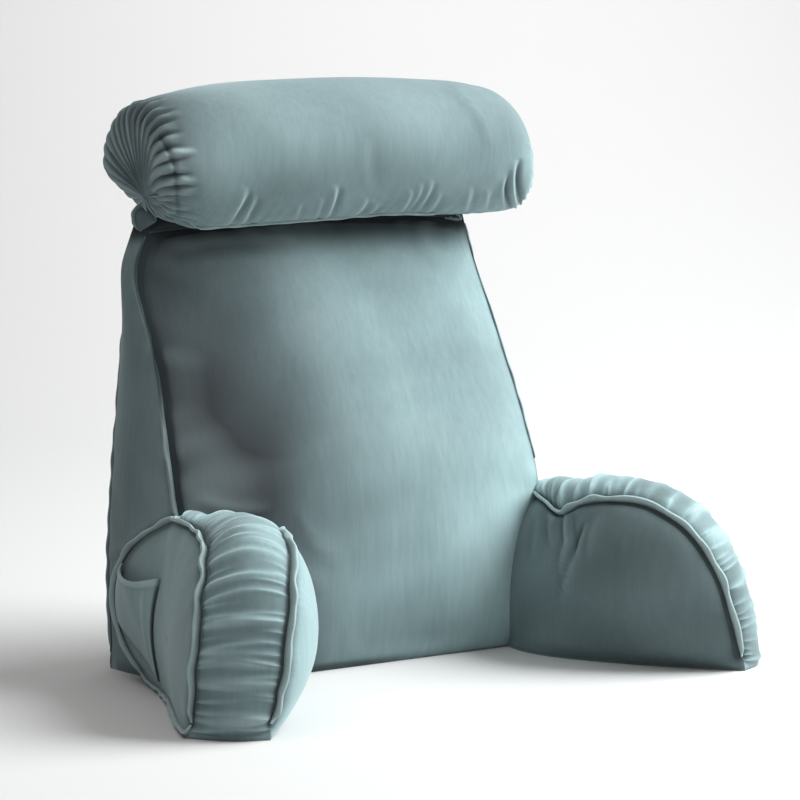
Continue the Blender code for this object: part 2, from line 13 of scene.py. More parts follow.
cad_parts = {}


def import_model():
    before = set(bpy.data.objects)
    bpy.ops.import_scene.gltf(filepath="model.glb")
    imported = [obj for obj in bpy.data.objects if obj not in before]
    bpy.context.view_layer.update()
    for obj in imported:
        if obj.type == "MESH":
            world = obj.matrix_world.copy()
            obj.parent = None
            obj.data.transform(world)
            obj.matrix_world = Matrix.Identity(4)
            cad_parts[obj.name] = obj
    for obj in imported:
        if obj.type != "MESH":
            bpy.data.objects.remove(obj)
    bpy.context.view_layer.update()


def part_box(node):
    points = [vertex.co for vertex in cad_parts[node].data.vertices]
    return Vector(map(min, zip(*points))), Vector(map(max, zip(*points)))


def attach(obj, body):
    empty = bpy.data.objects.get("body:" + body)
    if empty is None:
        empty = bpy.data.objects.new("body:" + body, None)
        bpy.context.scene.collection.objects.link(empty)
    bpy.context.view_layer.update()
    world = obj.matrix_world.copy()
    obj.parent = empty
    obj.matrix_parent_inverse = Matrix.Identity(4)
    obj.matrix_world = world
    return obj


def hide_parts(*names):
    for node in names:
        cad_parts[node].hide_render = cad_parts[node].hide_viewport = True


# Camera, at the photograph's viewing angle
AZIMUTH = math.radians(-35.57)
ELEVATION = math.radians(6.15)
DISTANCE = 3.5865
TARGET = (0.072, 0.050, 0.278)  # before the part's own shift along Y
FOCAL = 3279.0  # in picture elements of an 800 wide picture
PICTURE = 800
SENSOR = 36.0
PULL_Y = 0.080  # the zip pull's place before that shift

# Seams
SEAM_CROWDING = 1.6  # how much closer together the rings lie beside a panel's seam
BAND_CROWDING = 0.72  # the same beside the seams of a gusset or band, 0 to 1
CALM = 31  # neighbours over which the normals beside a seam are evened out
CALM_REACH = 0.006
SEAM_PAINTED_SHADE = (1.1, 0.0036)  # painted shade along a seam's own line: how dark, and how far off that fades
GROOVE = (0.0022, 0.0016, 0.0018)  # beside a seam: how far off, how wide and how deep
# How dark the painted shade is in the groove beside a seam
GROOVE_PAINTED_SHADE = 2.6

# Seam lips
LIP_HEIGHT = 0.0078
LIP_THICK = 0.0040
LIP_SEAT = -0.0003
LIP_STEP = 0.0018
LIP_TAPER = 0.014  # over which a lip rises at its ends
LIP_WAVE = 0.028  # the shortest wave of a long lip's waver
CURL_RISE = 0.8  # how much taller it is where it curls up
CURL_SPAN = 0.010
# The lip's section: across and up, in lip thicknesses and lip heights, with a groove between its layers
LIP_HALF = [(0.22, 1.00), (0.46, 0.90), (0.50, 0.62), (0.42, 0.30), (0.26, 0.00)]
LIP_SECTION = [(-across, up) for across, up in reversed(LIP_HALF)] + [(0.0, 0.91)] + LIP_HALF

# Wear and painted shading for each metre that the cloth stands out: ridges paler, as rubbed and as a
# painted highlight, valleys darker with painted shade
FOLD_WEAR_AND_SHADING = 220
GATHER_WEAR_AND_SHADING = 250
PLEAT_WEAR_AND_SHADING = 150
CREASE_WEAR_AND_SHADING = 300

# Backrest: the seams of its front and back panels
# columns: height, half width, place front to back
FRONT_SEAM = [
    (0.003, 0.199, 0.001),
    (0.060, 0.211, -0.001),
    (0.120, 0.226, 0.005),
    (0.185, 0.238, 0.016),
    (0.240, 0.234, 0.034),
    (0.320, 0.228, 0.066),
    (0.400, 0.218, 0.097),
    (0.440, 0.212, 0.110),
    (0.468, 0.205, 0.113),
]
BACK_SEAM = [
    (0.003, 0.240, 0.148),
    (0.060, 0.239, 0.156),
    (0.120, 0.237, 0.160),
    (0.185, 0.234, 0.158),
    (0.240, 0.230, 0.155),
    (0.320, 0.224, 0.152),
    (0.400, 0.216, 0.150),
    (0.440, 0.211, 0.150),
    (0.468, 0.203, 0.149),
]
FRONT_MIDDLE = (0.0, 0.044, 0.235)
BACK_MIDDLE = (0.0, 0.155, 0.235)
FRONT_OUT = (0.0, -0.93, 0.36)
FRONT_LIPS = (  # side, the height where the lip starts, how tall it is, its painted light (the left lip in painted shade)
    ("left", 0.172, LIP_HEIGHT, 0.35),
    ("right", 0.200, 0.35 * LIP_HEIGHT, 1.0),
)
TOP_LIP_HEIGHT = 0.0050
BACK_LIP_HEIGHT = 0.0040
FRONT_CROWN = 0.040
BACK_CROWN = 0.028
GUSSET_CROWN = 0.012
SHOULDER = (-0.011, 0.009)  # the left front seam's swing outwards and back
SHOULDER_HEIGHT = (0.418, 0.045)
CROWN_HALF = 0.2  # how far across the gusset's crown is full
TOP_CROWN = 0.0125
TOP_START = (0.435, 0.460)
TOP_ARCH = (0.011, 0.006)  # the front and back seams
FLOOR_BAND = 0.012  # below this height the gusset lies on the floor
SIDE_STATIONS = 130
ACROSS_STATIONS = 112
PANEL_RINGS = 38
GUSSET_RINGS = 30
TOP_LIP_STATIONS = (18, 9)  # how far the front seam's lip runs on at the top, left and right
BACKREST_REACH = 0.20  # from the panels' middle to their seams
GUSSET_WIDTH = 0.15
BACKREST_PINCH = (0.0034, 0.0055)  # how far the cloth draws in at a seam, and how far off that fades
PINCH_SHOWN = (-0.05, 0.10)  # across the backrest, over which most of that goes

# Arms
ARM_ROOT_X = 0.197
ARM_ROOT_ANGLE = math.radians(5.0)
ARM_TIP_ANGLE = math.radians(41.0)
ARM_LENGTH = 0.284
# columns: along, inner seam's height, inner seam's place across, outer seam's height, its place across
ARM_TOP = [
    (-0.010, 0.167, 0.034, 0.178, 0.048),
    (0.030, 0.167, 0.010, 0.181, 0.058),
    (0.074, 0.158, -0.011, 0.181, 0.060),
    (0.102, 0.172, -0.018, 0.179, 0.060),
    (0.140, 0.180, -0.021, 0.176, 0.061),
    (0.180, 0.178, -0.022, 0.170, 0.063),
    (0.215, 0.162, -0.023, 0.155, 0.066),
    (0.240, 0.138, -0.023, 0.133, 0.068),
    (0.261, 0.101, -0.021, 0.100, 0.070),
    (0.274, 0.060, -0.017, 0.060, 0.072),
    (0.281, 0.025, -0.010, 0.025, 0.074),
    (0.284, 0.003, -0.004, 0.003, 0.076),
]
ARM_REAR = [
    ARM_TOP[0],
    (-0.043, 0.154, 0.030, 0.162, 0.060),
    (-0.074, 0.133, 0.028, 0.139, 0.069),
    (-0.091, 0.102, 0.026, 0.105, 0.075),
    (-0.081, 0.060, 0.020, 0.060, 0.077),
    (-0.054, 0.027, 0.010, 0.027, 0.074),
    (-0.026, 0.003, 0.000, 0.003, 0.066),
]
ARM_MIDDLE = (0.128, 0.074)  # the middle of its panels: along and up
ARM_BASE_SWELL = (0.026, 0.017)  # how far the inner and the outer seam bow out at the base
ARM_BASE_SKEW = (2.2, 0.75)  # below 1 most of that lies by the tip, above 1 by the root
ARM_LIP_END = 0.968  # share of the band where its lips end, short of the foot
ARM_INNER_LIP = 0.0078
ARM_OUTER_LIP = 0.0074
ARM_LIP_THICK = 0.0036
INNER_LIP_LEAN = {"left": -1.4, "right": -0.55}
OUTER_LIP_LEAN = 0.9
LEFT_CURL = (273, 531)  # where the left arm's inner lip stands up, in the picture
ARM_PINCH = (0.0032, 0.0068)  # as the backrest's
ARM_INNER_CROWN = 0.040
ARM_OUTER_CROWN = 0.027
ARM_BAND_CROWN = (0.0235, 0.0165)  # near the root and near the tip
ARM_BAND_LOW = 0.0035  # below this height the band lies on the floor
ARM_ROOT_FADE = (0.12, 0.45)  # share of the band where its crown is full, and the least of it
ARM_TIP_FADE = 0.035
ARM_TOP_STATIONS = 470
ARM_REAR_STATIONS = 60
ARM_BASE_STATIONS = 50
ARM_PANEL_RINGS = 30
ARM_BAND_RINGS = 44
ARM_REACH = 0.11
BAND_WIDTH = 0.080
GATHERS = 36  # off each seam of a band
LONG_GATHERS = 13  # right across it
GATHER_DEPTH = 0.0058
GATHER_ARC = 0.012

# Neck roll
# columns: place along the roll, radius, how far its centre lies below the middle's
ROLL = [
    (-0.228, 0.003, 0.046),
    (-0.233, 0.016, 0.039),
    (-0.239, 0.031, 0.031),
    (-0.243, 0.045, 0.023),
    (-0.243, 0.054, 0.018),
    (-0.236, 0.0615, 0.014),
    (-0.220, 0.0670, 0.012),
    (-0.190, 0.0715, 0.010),
    (-0.110, 0.0757, 0.004),
    (0.000, 0.0762, 0.000),
    (0.120, 0.0748, 0.001),
    (0.188, 0.0720, 0.004),
    (0.221, 0.0675, 0.008),
    (0.237, 0.0605, 0.014),
    (0.245, 0.0510, 0.021),
    (0.247, 0.0400, 0.028),
    (0.244, 0.0280, 0.034),
    (0.238, 0.0150, 0.040),
    (0.232, 0.003, 0.044),
]
ROLL_SECTIONS = 330
ROLL_SPOKES = 270
ROLL_PLEATS = 29
PLEAT_DEPTH = 0.0062
LEFT_PLEATS = (0.212, 0.237)  # where along the roll they start and are at full depth
RIGHT_PLEATS = (0.230, 0.246)
END_FACE = (0.058, 0.042)  # radii over which the ends' own pleats set in
ROLL_TILT = (0.80, 0.10)  # how much the underside leans inwards at the left and the right end
TILT_START = 0.165
TILT_SPAN = 0.070
ROLL_SEAM_TURN = 260.0  # where round the roll its seam runs, in degrees
ROLL_LIP_SPAN = (-0.192, 0.152)
ROLL_LIP_RADIUS = 0.066  # no lip where the roll is thinner

# Pinched top corners, where their edges lie in the picture
LEFT_EAR = [
    (139, 238), (134.5, 229), (133, 219), (135, 209),
    (141, 204.5), (150, 206.5), (157, 213), (161, 224),
]
RIGHT_EAR = [(455, 227), (453.5, 221), (455, 216.5), (459, 216), (461, 221), (460, 229)]
EAR_FACING = (-0.58, -0.81, 0.0)  # level and towards the camera
EAR_INSET = 0.72
EAR_THICK = 0.0045
EAR_LIP = 0.0056

# Pocket
POCKET_INSET = 0.011  # from the arm's rear seam
POCKET_FRONT = 0.043
POCKET_LOW = 0.018
POCKET_HIGH = 0.124
POCKET_DIP = 0.010  # how far its mouth sags
POCKET_RISE = 0.046  # how much higher its lower edge is at the rear
POCKET_GAPE = 0.013
POCKET_FULL = 0.7  # below 1 the gape is fuller towards the sides
POCKET_SLACK = 1.6  # above 1 it opens mostly near the mouth
POCKET_STEPS = 60
POCKET_SEAT = 0.0012  # off the arm
CLOTH = 0.0018
HEM = 0.0009  # extra thickness of the mouth's hem
POCKET_CREASE = (0.0022, 0.035)  # how high the crease by the front edge is, and how wide

# Zip pull, in halves of its own sizes
PULL_ROUND = 0.45  # 1 would be an ellipse, 0 a rectangle
HOLE_HALF = (0.42, 0.17)
HOLE_HEIGHT = 0.52

# Folds seen from the front, where they lie in the picture
# columns: from x, from y, to x, to y, bow, width, height in mm
RIGHT_ARM_FOLDS = [
    (565, 514, 567, 548, 1, 2.2, 2.6),
    (567, 540, 560, 578, 1, 3.4, 2.2),
    (573, 516, 575, 550, -1, 2.0, -1.8),
    (586, 526, 577, 556, 1, 2.2, 2.8),
    (577, 552, 562, 604, 2, 3.8, 2.2),
    (581, 530, 571, 562, 1, 2.0, -1.8),
    (549, 514, 553, 548, 1, 3.0, 1.6),
    (540, 520, 534, 560, 1, 4.0, 1.2),
    (597, 520, 588, 560, 2, 5.0, 1.2),
]
ROLL_FOLDS = [
    (213, 236, 247, 188, 4, 4.0, 3.6),
    (223, 236, 256, 196, 4, 3.6, 2.6),
    (232, 232, 250, 214, 2, 3.6, 1.6),
    (323, 220, 336, 186, 2, 3.4, 3.6),
    (311, 222, 322, 198, 1, 3.2, 2.2),
    (290, 224, 300, 204, 1, 3.2, 1.4),
    (343, 219, 367, 198, 3, 3.4, 2.8),
    (352, 219, 378, 204, 3, 3.2, 1.8),
    (367, 184, 366, 138, -2, 7.0, 0.6),
    (395, 216, 412, 190, 2, 3.4, 2.8),
    (404, 215, 422, 184, 2, 3.2, 2.6),
    (413, 215, 432, 180, 2, 3.2, 2.2),
    (424, 215, 440, 192, 2, 3.2, 1.6),
    (455, 86, 494, 152, -7, 6.0, 0.6),
    (463, 213, 470, 186, 1, 3.6, 1.6),
    (484, 211, 488, 188, 0, 3.6, 1.4),
    (506, 210, 506, 176, -4, 3.2, 2.6),
    (512, 210, 511, 170, -5, 2.4, -3.2),
    (518, 210, 516, 160, -5, 3.2, 3.2),
    (524, 206, 521, 158, -4, 2.2, -2.6),
    (160, 138, 174, 167, -2, 2.2, -2.4),
    (174, 165, 178, 232, -1, 2.2, -2.4),
    (152, 178, 176, 168, -3, 3.0, 1.6),
    (154, 190, 190, 181, -3, 3.0, 1.0),
    (156, 204, 192, 195, -3, 3.0, 1.2),
    (162, 216, 200, 206, -3, 3.0, 1.6),
]
BACKREST_FOLDS = [
    (105, 556, 152, 520, 3, 5.0, 1.2),
    (180, 246, 300, 238, -3, 7.0, 1.2),
    (420, 232, 448, 262, 3, 7.0, 1.0),
    (300, 514, 340, 560, 5, 9.0, 1.4),
    (296, 560, 330, 590, 4, 8.0, 1.0),
    (200, 500, 270, 508, 4, 7.0, 1.2),
]

# Painted light and shade: 0 is the darkest painted shade, 1 is plain, and above 1 is paler with painted
# light
FRONT_LEFT_PAINTED_SHADE = 0.03
FRONT_RISE = (-0.155, 0.10)  # across the front panel, over which the painted shade at its left rises to 1
HIGH_PAINTED_LIGHT = 0.09  # more painted light, high up on the front panel
HIGH_SPAN = (0.25, 0.42)
LOW_PAINTED_LIGHT = (  # how much more painted light low down, between which heights and which places across
    (0.42, (0.30, 0.04), (-0.13, -0.04)),
    (0.45, (0.27, 0.10), (0.06, 0.17)),
)
UNDER_ROLL_PAINTED_SHADOW = (0.432, 0.468)  # heights over which the roll's painted shadow darkens the front panel
OVER_TOP_PAINTED_SHADOW = (0.452, 0.466)  # and over which the painted shadow darkens the gusset
# Painted shade on the gusset and the back panel
GUSSET_PAINTED_SHADE = 0.62
LEFT_INNER_PAINTED_LIGHT = 1.35  # painted light on the arms' inner panels: the left one lit, the right one in painted shade
RIGHT_INNER_PAINTED_SHADE = 0.50
# A little painted shade on the arms' outer panels
OUTER_PAINTED_SHADE = 0.82
BAND_PAINTED_LIGHT = (0.95, 0.40)  # painted light on the arms' bands low down, and what their tops have more
BAND_PAINTED_LIGHT_SPAN = (0.07, 0.14)
ROLL_PAINTED_LIGHT = 0.96  # painted light on the roll's underside at its middle
ROLL_TOP_PAINTED_SHADE = (-0.34, (0.50, 0.63))  # painted shade added at its top, and between which heights
ROLL_END_PAINTED_SHADE = (-0.40, (-0.17, -0.23))  # painted shade at its left end, and between which places along it

# Colours, linear
# The velvet under the darkest painted shade
VELVET_PAINTED_SHADE = (0.023, 0.025, 0.029, 1.0)
SHEEN = (0.06, 0.45)  # sheen weight under the darkest painted shade and where the painted light is plain
SHEEN_TINT = (0.72, 0.86, 0.88, 1.0)
VELVET_DARK = (0.150, 0.215, 0.228, 1.0)
VELVET_MID = (0.222, 0.310, 0.322, 1.0)
VELVET_PALE = (0.400, 0.500, 0.510, 1.0)
# Paler velvet for the seam lips, a painted highlight where they catch the light
LIP_LIT_MID = (0.330, 0.425, 0.435, 1.0)
METAL_COLOUR = (0.90, 0.90, 0.91, 1.0)
FLOOR_COLOUR = (0.54, 0.54, 0.54, 1.0)
WORLD_COLOUR = (1.0, 0.95, 0.93, 1.0)
WORLD_STRENGTH = 0.30
WHITE = (1.0, 1.0, 1.0)

# Velvet's texture, in waves to the metre
PATCHES = (9.0, 9.0, 3.0)
STREAKS = (150.0, 150.0, 22.0)
NAP = 1500.0

# Lights: name, place, where it points, size, power, colour
LIGHTS = [
    ("key", (1.76, -0.74, 1.88), (0.0, 0.05, 0.28), 2.1, 174.0, (0.96, 1.0, 1.0)),
    ("top", (0.2, 0.3, 3.0), (0.0, 0.2, 0.0), 2.6, 8.0, WHITE),
    ("floor_at_left", (-0.85, -0.1, 1.5), (-0.85, -0.1, 0.0), 0.9, 5.0, WHITE),
    ("backdrop", (1.9, 2.2, 2.6), (2.6, 3.6, 0.2), 3.0, 60.0, WHITE),
    ("floor_in_front", (-1.9, -2.8, 2.6), (-2.6, -4.2, 0.2), 3.0, 76.0, WHITE),
]

# Floor and backdrop
FLOOR_FRONT = -9.0
FLOOR_HALF = 14.0
BACKDROP_START = 2.0  # behind the part, where the floor starts to curve up
BACKDROP_BEND = 2.2
BACKDROP_TOP = 7.0


def through(rows, count):
    """Points evenly spaced along a smooth curve through the rows."""
    rows = np.asarray(rows, float)
    steps = np.linalg.norm(np.diff(rows, axis=0), axis=1)
    at = np.concatenate([[0.0], np.cumsum(steps)])
    slope = np.gradient(rows, at, axis=0)
    where = np.linspace(0.0, at[-1], count)
    row = np.clip(np.searchsorted(at, where, side="right") - 1, 0, len(at) - 2)
    span = (at[row + 1] - at[row])[:, None]
    t = (where - at[row])[:, None] / span
    start = rows[row] * (2 * t**3 - 3 * t**2 + 1) + slope[row] * span * (t**3 - 2 * t**2 + t)
    end = rows[row + 1] * (3 * t**2 - 2 * t**3) + slope[row + 1] * span * (t**3 - t**2)
    return start + end


def unit(vectors):
    return vectors / np.maximum(np.linalg.norm(vectors, axis=-1, keepdims=True), 1e-9)


def smooth_step(value, start, end):
    """0 before the start and 1 past the end, which may be the lower of the two."""
    t = np.clip((value - start) / (end - start), 0, 1)
    return t * t * (3 - 2 * t)


def bell(value, width, middle=0.0):
    """1 at the middle, fading to 0 within a few widths."""
    return np.exp(-((value - middle) / width) ** 2)


def placed(name, data):
    """An object of that data, linked into the scene."""
    made = bpy.data.objects.new(name, data)
    bpy.context.scene.collection.objects.link(made)
    return made


class View:
    """The photograph's camera: its place, its axes, and where a point falls in the picture."""

    def __init__(self, shift):
        self.back = np.array([
            math.sin(AZIMUTH) * math.cos(ELEVATION),
            -math.cos(AZIMUTH) * math.cos(ELEVATION),
            math.sin(ELEVATION),
        ])
        self.right = np.array([math.cos(AZIMUTH), math.sin(AZIMUTH), 0.0])
        self.up = np.cross(self.back, self.right)
        self.place = np.array(TARGET) + np.array([0.0, shift, 0.0]) + self.back * DISTANCE

    def picture(self, points):
        """Where points fall in the picture, from its top left corner."""
        offset = points - self.place
        depth = -(offset @ self.back)
        across = PICTURE / 2 + FOCAL * (offset @ self.right) / depth
        down = PICTURE / 2 - FOCAL * (offset @ self.up) / depth
        return np.stack([across, down], axis=-1)

    def ray(self, across, down):
        """The direction from the camera through a place in the picture."""
        across = (across - PICTURE / 2) / FOCAL
        down = (down - PICTURE / 2) / FOCAL
        return unit(-self.back + self.right * across - self.up * down)

    def camera(self):
        data = bpy.data.cameras.new("camera")
        data.sensor_width = SENSOR
        data.lens = FOCAL / PICTURE * SENSOR
        data.clip_end = 60.0
        made = placed("camera", data)
        turn = Matrix((self.right, self.up, self.back)).transposed().to_4x4()
        made.matrix_world = Matrix.Translation(Vector(self.place)) @ turn
        bpy.context.scene.camera = made


def crowded(count):
    """Shares from near a panel's middle to 1 at its seam, closer together beside the seam."""
    return 1 - (1 - np.arange(1, count + 1) / count) ** SEAM_CROWDING


def crossing(count):
    """Shares from one seam to the next, closer together beside both."""
    t = np.arange(1, count + 1) / (count + 1)
    return t - BAND_CROWDING * np.sin(2 * math.pi * t) / (2 * math.pi)


def panel(seam, middle, outwards, crown, rings):
    """Rings from near a panel's middle out to its seam: the seam's corners soften inwards."""
    count = len(seam)
    modes = np.fft.rfft(seam, axis=0)
    order = np.arange(len(modes))
    power = 1 + 0.45 * np.maximum(order - 1, 0)
    power[0] = 0
    centre = seam.mean(axis=0)
    made = []
    for share in crowded(rings):
        ring = np.fft.irfft(modes * (share**power)[:, None], n=count, axis=0)
        ring = ring + (middle - centre) * (1 - share)
        made.append(ring + outwards * crown * (1 - share**2) ** 0.8)
    return made


def from_seams(panel_rings, band_rings, reach, width):
    """Each ring's distance from the nearest seam, over one panel, the band and the other panel."""
    over_panel = (1 - crowded(panel_rings)) * reach
    share = crossing(band_rings)
    over_band = np.minimum(share, 1 - share) * width
    return np.concatenate([over_panel, over_band, over_panel[::-1]])[:, None]


def outward(grid):
    """Unit normals of a grid of rings, closed round each ring, pointing away from its middle."""
    along = np.gradient(grid, axis=0)
    round_it = np.roll(grid, -1, axis=1) - np.roll(grid, 1, axis=1)
    normals = unit(np.cross(along, round_it))
    away = grid - grid.mean(axis=(0, 1))
    if (normals * away).sum() < 0:
        normals = -normals
    return normals


def folds_seen(view, grid, normals, rows):
    """How far folds raise the cloth. Each runs along a bowed line in the picture, on the near side."""
    seen = view.picture(grid)
    facing = smooth_step((normals * unit(view.place - grid)).sum(axis=-1), 0.05, 0.3)
    lift = np.zeros(grid.shape[:2])
    for x0, y0, x1, y1, bow, width, height in rows:
        start = np.array([x0, y0], float)
        run = np.array([x1, y1], float) - start
        length = np.linalg.norm(run)
        side = np.array([-run[1], run[0]]) / length
        offset = seen - start
        t = np.clip((offset @ run) / length**2, 0, 1)
        across = offset @ side - bow * 4 * t * (1 - t)
        beyond = offset @ run / length - t * length
        reach = np.sqrt(across**2 + beyond**2) / width
        ridge = np.exp(-reach**1.5)
        if height > 0:
            ridge -= 0.8 * np.exp(-(across / width - 1.4) ** 2 - (beyond / width) ** 2)
        fade = np.sin(math.pi * np.clip(0.12 + 0.88 * t, 0, 1)) ** 0.6
        lift += ridge * fade * facing * height / 1000
    return lift


def soft_noise(points, size, seed):
    """A smooth wandering value, -1 to 1, from a few slanted waves of about that size."""
    rng = np.random.default_rng(seed)
    total = np.zeros(points.shape[:-1])
    for _ in range(7):
        direction = unit(rng.normal(size=3))
        length = size * rng.uniform(0.7, 1.6)
        total += np.sin(points @ direction * 2 * math.pi / length + rng.uniform(0, 6.28))
    return total / 4


def ring_quads(index):
    """Four-sided faces between closed rings of points. Each row has the numbers of a ring's points."""
    after = np.roll(index, -1, axis=1)
    return np.stack([index[:-1], after[:-1], after[1:], index[1:]], axis=-1).reshape(-1, 4)


def solid(name, rings, first, last, wear_and_shading, finish, painted_light=1.0):
    """A closed mesh from rings and a middle point at each end.

    The wear values are above 0 where the cloth is paler, as rubbed and as a painted highlight, and below 0
    where it is darker with painted shade in its valleys, seams and grooves. The painted light values are 0
    under the darkest painted shade, 1 plain and above 1 paler.
    """
    rings = np.asarray(rings)
    total, count = rings.shape[:2]
    points = np.concatenate([first[None], rings.reshape(-1, 3), last[None]])
    index = 1 + np.arange(total * count).reshape(total, count)
    after = np.roll(index, -1, axis=1)
    head = np.stack([np.zeros(count, int), after[0], index[0]], axis=-1)
    tail = np.stack([index[-1], after[-1], np.full(count, len(points) - 1)], axis=-1)
    faces = ring_quads(index).tolist() + head.tolist() + tail.tolist()
    worn_and_shaded = np.concatenate([[0.0], np.asarray(wear_and_shading).reshape(-1), [0.0]])
    if np.ndim(painted_light):
        painted_light = np.concatenate([painted_light[0, :1], painted_light.reshape(-1), painted_light[-1, :1]])
    return from_faces(name, points, faces, finish, worn_and_shaded, painted_light)


def from_faces(name, points, faces, finish, worn_and_shaded=0.0, painted_light=1.0):
    """A mesh object with its faces turned outwards, smooth, with its wear and its painted light and shade
    kept for the material.
    """
    points = np.asarray(points, float)
    triangles = np.array([(f[0], f[k], f[k + 1]) for f in faces for k in range(1, len(f) - 1)])
    a, b, c = (points[triangles[:, k]] for k in range(3))
    middle = points.mean(axis=0)
    volume = np.einsum("ij,ij->i", a - middle, np.cross(b - middle, c - middle)).sum()
    if volume < 0:
        faces = [list(reversed(f)) for f in faces]
    mesh = bpy.data.meshes.new(name)
    mesh.from_pydata(points.tolist(), [], [list(f) for f in faces])
    mesh.shade_smooth()
    for kind, value in (("wear_and_shading", worn_and_shaded), ("painted_light", painted_light)):
        values = np.broadcast_to(np.asarray(value, float), len(points))
        mesh.attributes.new(kind, "FLOAT", "POINT").data.foreach_set("value", values.copy())
    mesh.materials.append(finish)
    return placed(name, mesh)


def backrest_seam(rows, top_arch):
    """One seam of the backrest as a loop: up its +X side, over the top, down its -X side, back."""
    side = through(rows, SIDE_STATIONS)
    up = np.stack([side[:, 1], side[:, 2], side[:, 0]], axis=1)
    down = up[::-1] * np.array([-1.0, 1.0, 1.0])
    arch = np.sin(np.linspace(0, math.pi, ACROSS_STATIONS))[1:-1, None]
    across = np.linspace(up[-1], down[0], ACROSS_STATIONS)[1:-1] + arch * np.array([0.0, 0.0, top_arch])
    below = np.linspace(down[-1], up[0], ACROSS_STATIONS)[1:-1]
    return np.concatenate([up, across, down, below])


def backrest_grid(shift):
    """Every ring of the backrest, from the front panel over the gusset to the back panel."""
    front = backrest_seam(FRONT_SEAM, TOP_ARCH[0])
    shoulder, spread = SHOULDER_HEIGHT
    at_shoulder = bell(front[:, 2], spread, shoulder) * (front[:, 0] < 0)
    over_left = smooth_step(front[:, 0], -0.08, -0.20)
    front[:, :2] += np.outer(at_shoulder * over_left, SHOULDER)
    waver = wander(len(front), size=0.0016, waves=30, seed=51)[:, None]
    front[:, :2] += waver * smooth_step(front[:, 2:], 0.02, 0.06)
    back = backrest_seam(BACK_SEAM, TOP_ARCH[1])
    front_middle, back_middle, move = np.array([FRONT_MIDDLE, BACK_MIDDLE, (0.0, shift, 0.0)])
    forwards = unit(np.array(FRONT_OUT))
    backwards = np.array([0.0, 1.0, 0.0])
    rings = panel(front, front_middle, forwards, FRONT_CROWN, PANEL_RINGS)
    for share in crossing(GUSSET_RINGS):
        between = front + (back - front) * share
        swell = math.sin(math.pi * share)
        outer_part = np.clip(np.abs(between[:, 0]) / CROWN_HALF, 0, 1) ** 6
        over_top = smooth_step(between[:, 2], *TOP_START)
        out = np.zeros_like(between)
        out[:, 0] = np.sign(between[:, 0]) * GUSSET_CROWN * outer_part * (1 - over_top / 2)
        out[:, 2] = TOP_CROWN * over_top
        between = between + out * swell
        between[:, 2] = np.where(between[:, 2] < FLOOR_BAND, 0.0, between[:, 2])
        rings.append(between)
    rings.extend(reversed(panel(back, back_middle, backwards, BACK_CROWN, PANEL_RINGS)))
    first = front_middle + forwards * FRONT_CROWN
    last = back_middle + backwards * BACK_CROWN
    return np.array(rings) + move, first + move, last + move


def wander(count, size, waves, seed):
    """A smooth wandering value round a loop, with up to that many waves."""
    rng = np.random.default_rng(seed)
    turn = np.linspace(0, 2 * math.pi, count, endpoint=False)
    orders = rng.integers(waves // 4, waves + 1, 7)
    total = sum(np.sin(order * turn + rng.uniform(0, 6.28)) for order in orders)
    return size * total / 2.6


def calmed(normals, distance):
    """The normals, evened out along each ring beside the seams so that the seams run smoothly."""
    half = CALM // 2
    evened = unit(sum(np.roll(normals, k, axis=1) for k in range(-half, half + 1)))
    near = bell(distance, CALM_REACH)[..., None]
    return unit(normals * (1 - near) + evened * near)


def seam_pinch(distance, depth, width):
    """How far the cloth draws in beside a seam, a value for each ring."""
    return -depth * bell(distance, width)


def seam_painted_shade(distance):
    """Painted shade right at a seam, how dark it is for each ring."""
    dark, fading = SEAM_PAINTED_SHADE
    return dark * bell(distance, fading)


def puckers(distance, count, waves, depth, reach, seed):
    """Small puckers that run off the seams and fade over their reach."""
    rng = np.random.default_rng(seed)
    wave = wander(count, 1.0, waves, seed) * (0.7 + wander(count, 0.3, 12, seed + 1))
    slant = rng.uniform(-0.4, 0.4)
    rows = [np.roll(wave, int(d / 0.004 * slant)) for d in distance[:, 0]]
    rise = np.exp(-distance / reach) * (1 - np.exp(-distance / 0.003))
    return depth * np.array(rows) * rise


def backrest_painted_light(grid):
    """Painted light and shade on the backrest: painted shade at the front panel's left and painted shadow
    all along under the roll.
    """
    across, height = grid[..., 0], grid[..., 2]
    rise = smooth_step(across + 0.10 * height, *FRONT_RISE)
    painted_light = FRONT_LEFT_PAINTED_SHADE + (1 - FRONT_LEFT_PAINTED_SHADE) * rise
    painted_light = painted_light + HIGH_PAINTED_LIGHT * smooth_step(height, *HIGH_SPAN)
    for more, heights, places in LOW_PAINTED_LIGHT:
        painted_light = painted_light + more * smooth_step(height, *heights) * smooth_step(across, *places)
    painted_light = painted_light + 0.10 * soft_noise(grid, size=0.12, seed=9) * np.clip(1 - painted_light, 0, 1)
    painted_light = np.maximum(painted_light, 0) * (1 - 0.85 * smooth_step(height, *UNDER_ROLL_PAINTED_SHADOW))
    painted_light[PANEL_RINGS:] = GUSSET_PAINTED_SHADE
    edge = PANEL_RINGS - 6
    painted_light[edge:] *= 1 - smooth_step(height[edge:], *OVER_TOP_PAINTED_SHADOW)
    return painted_light


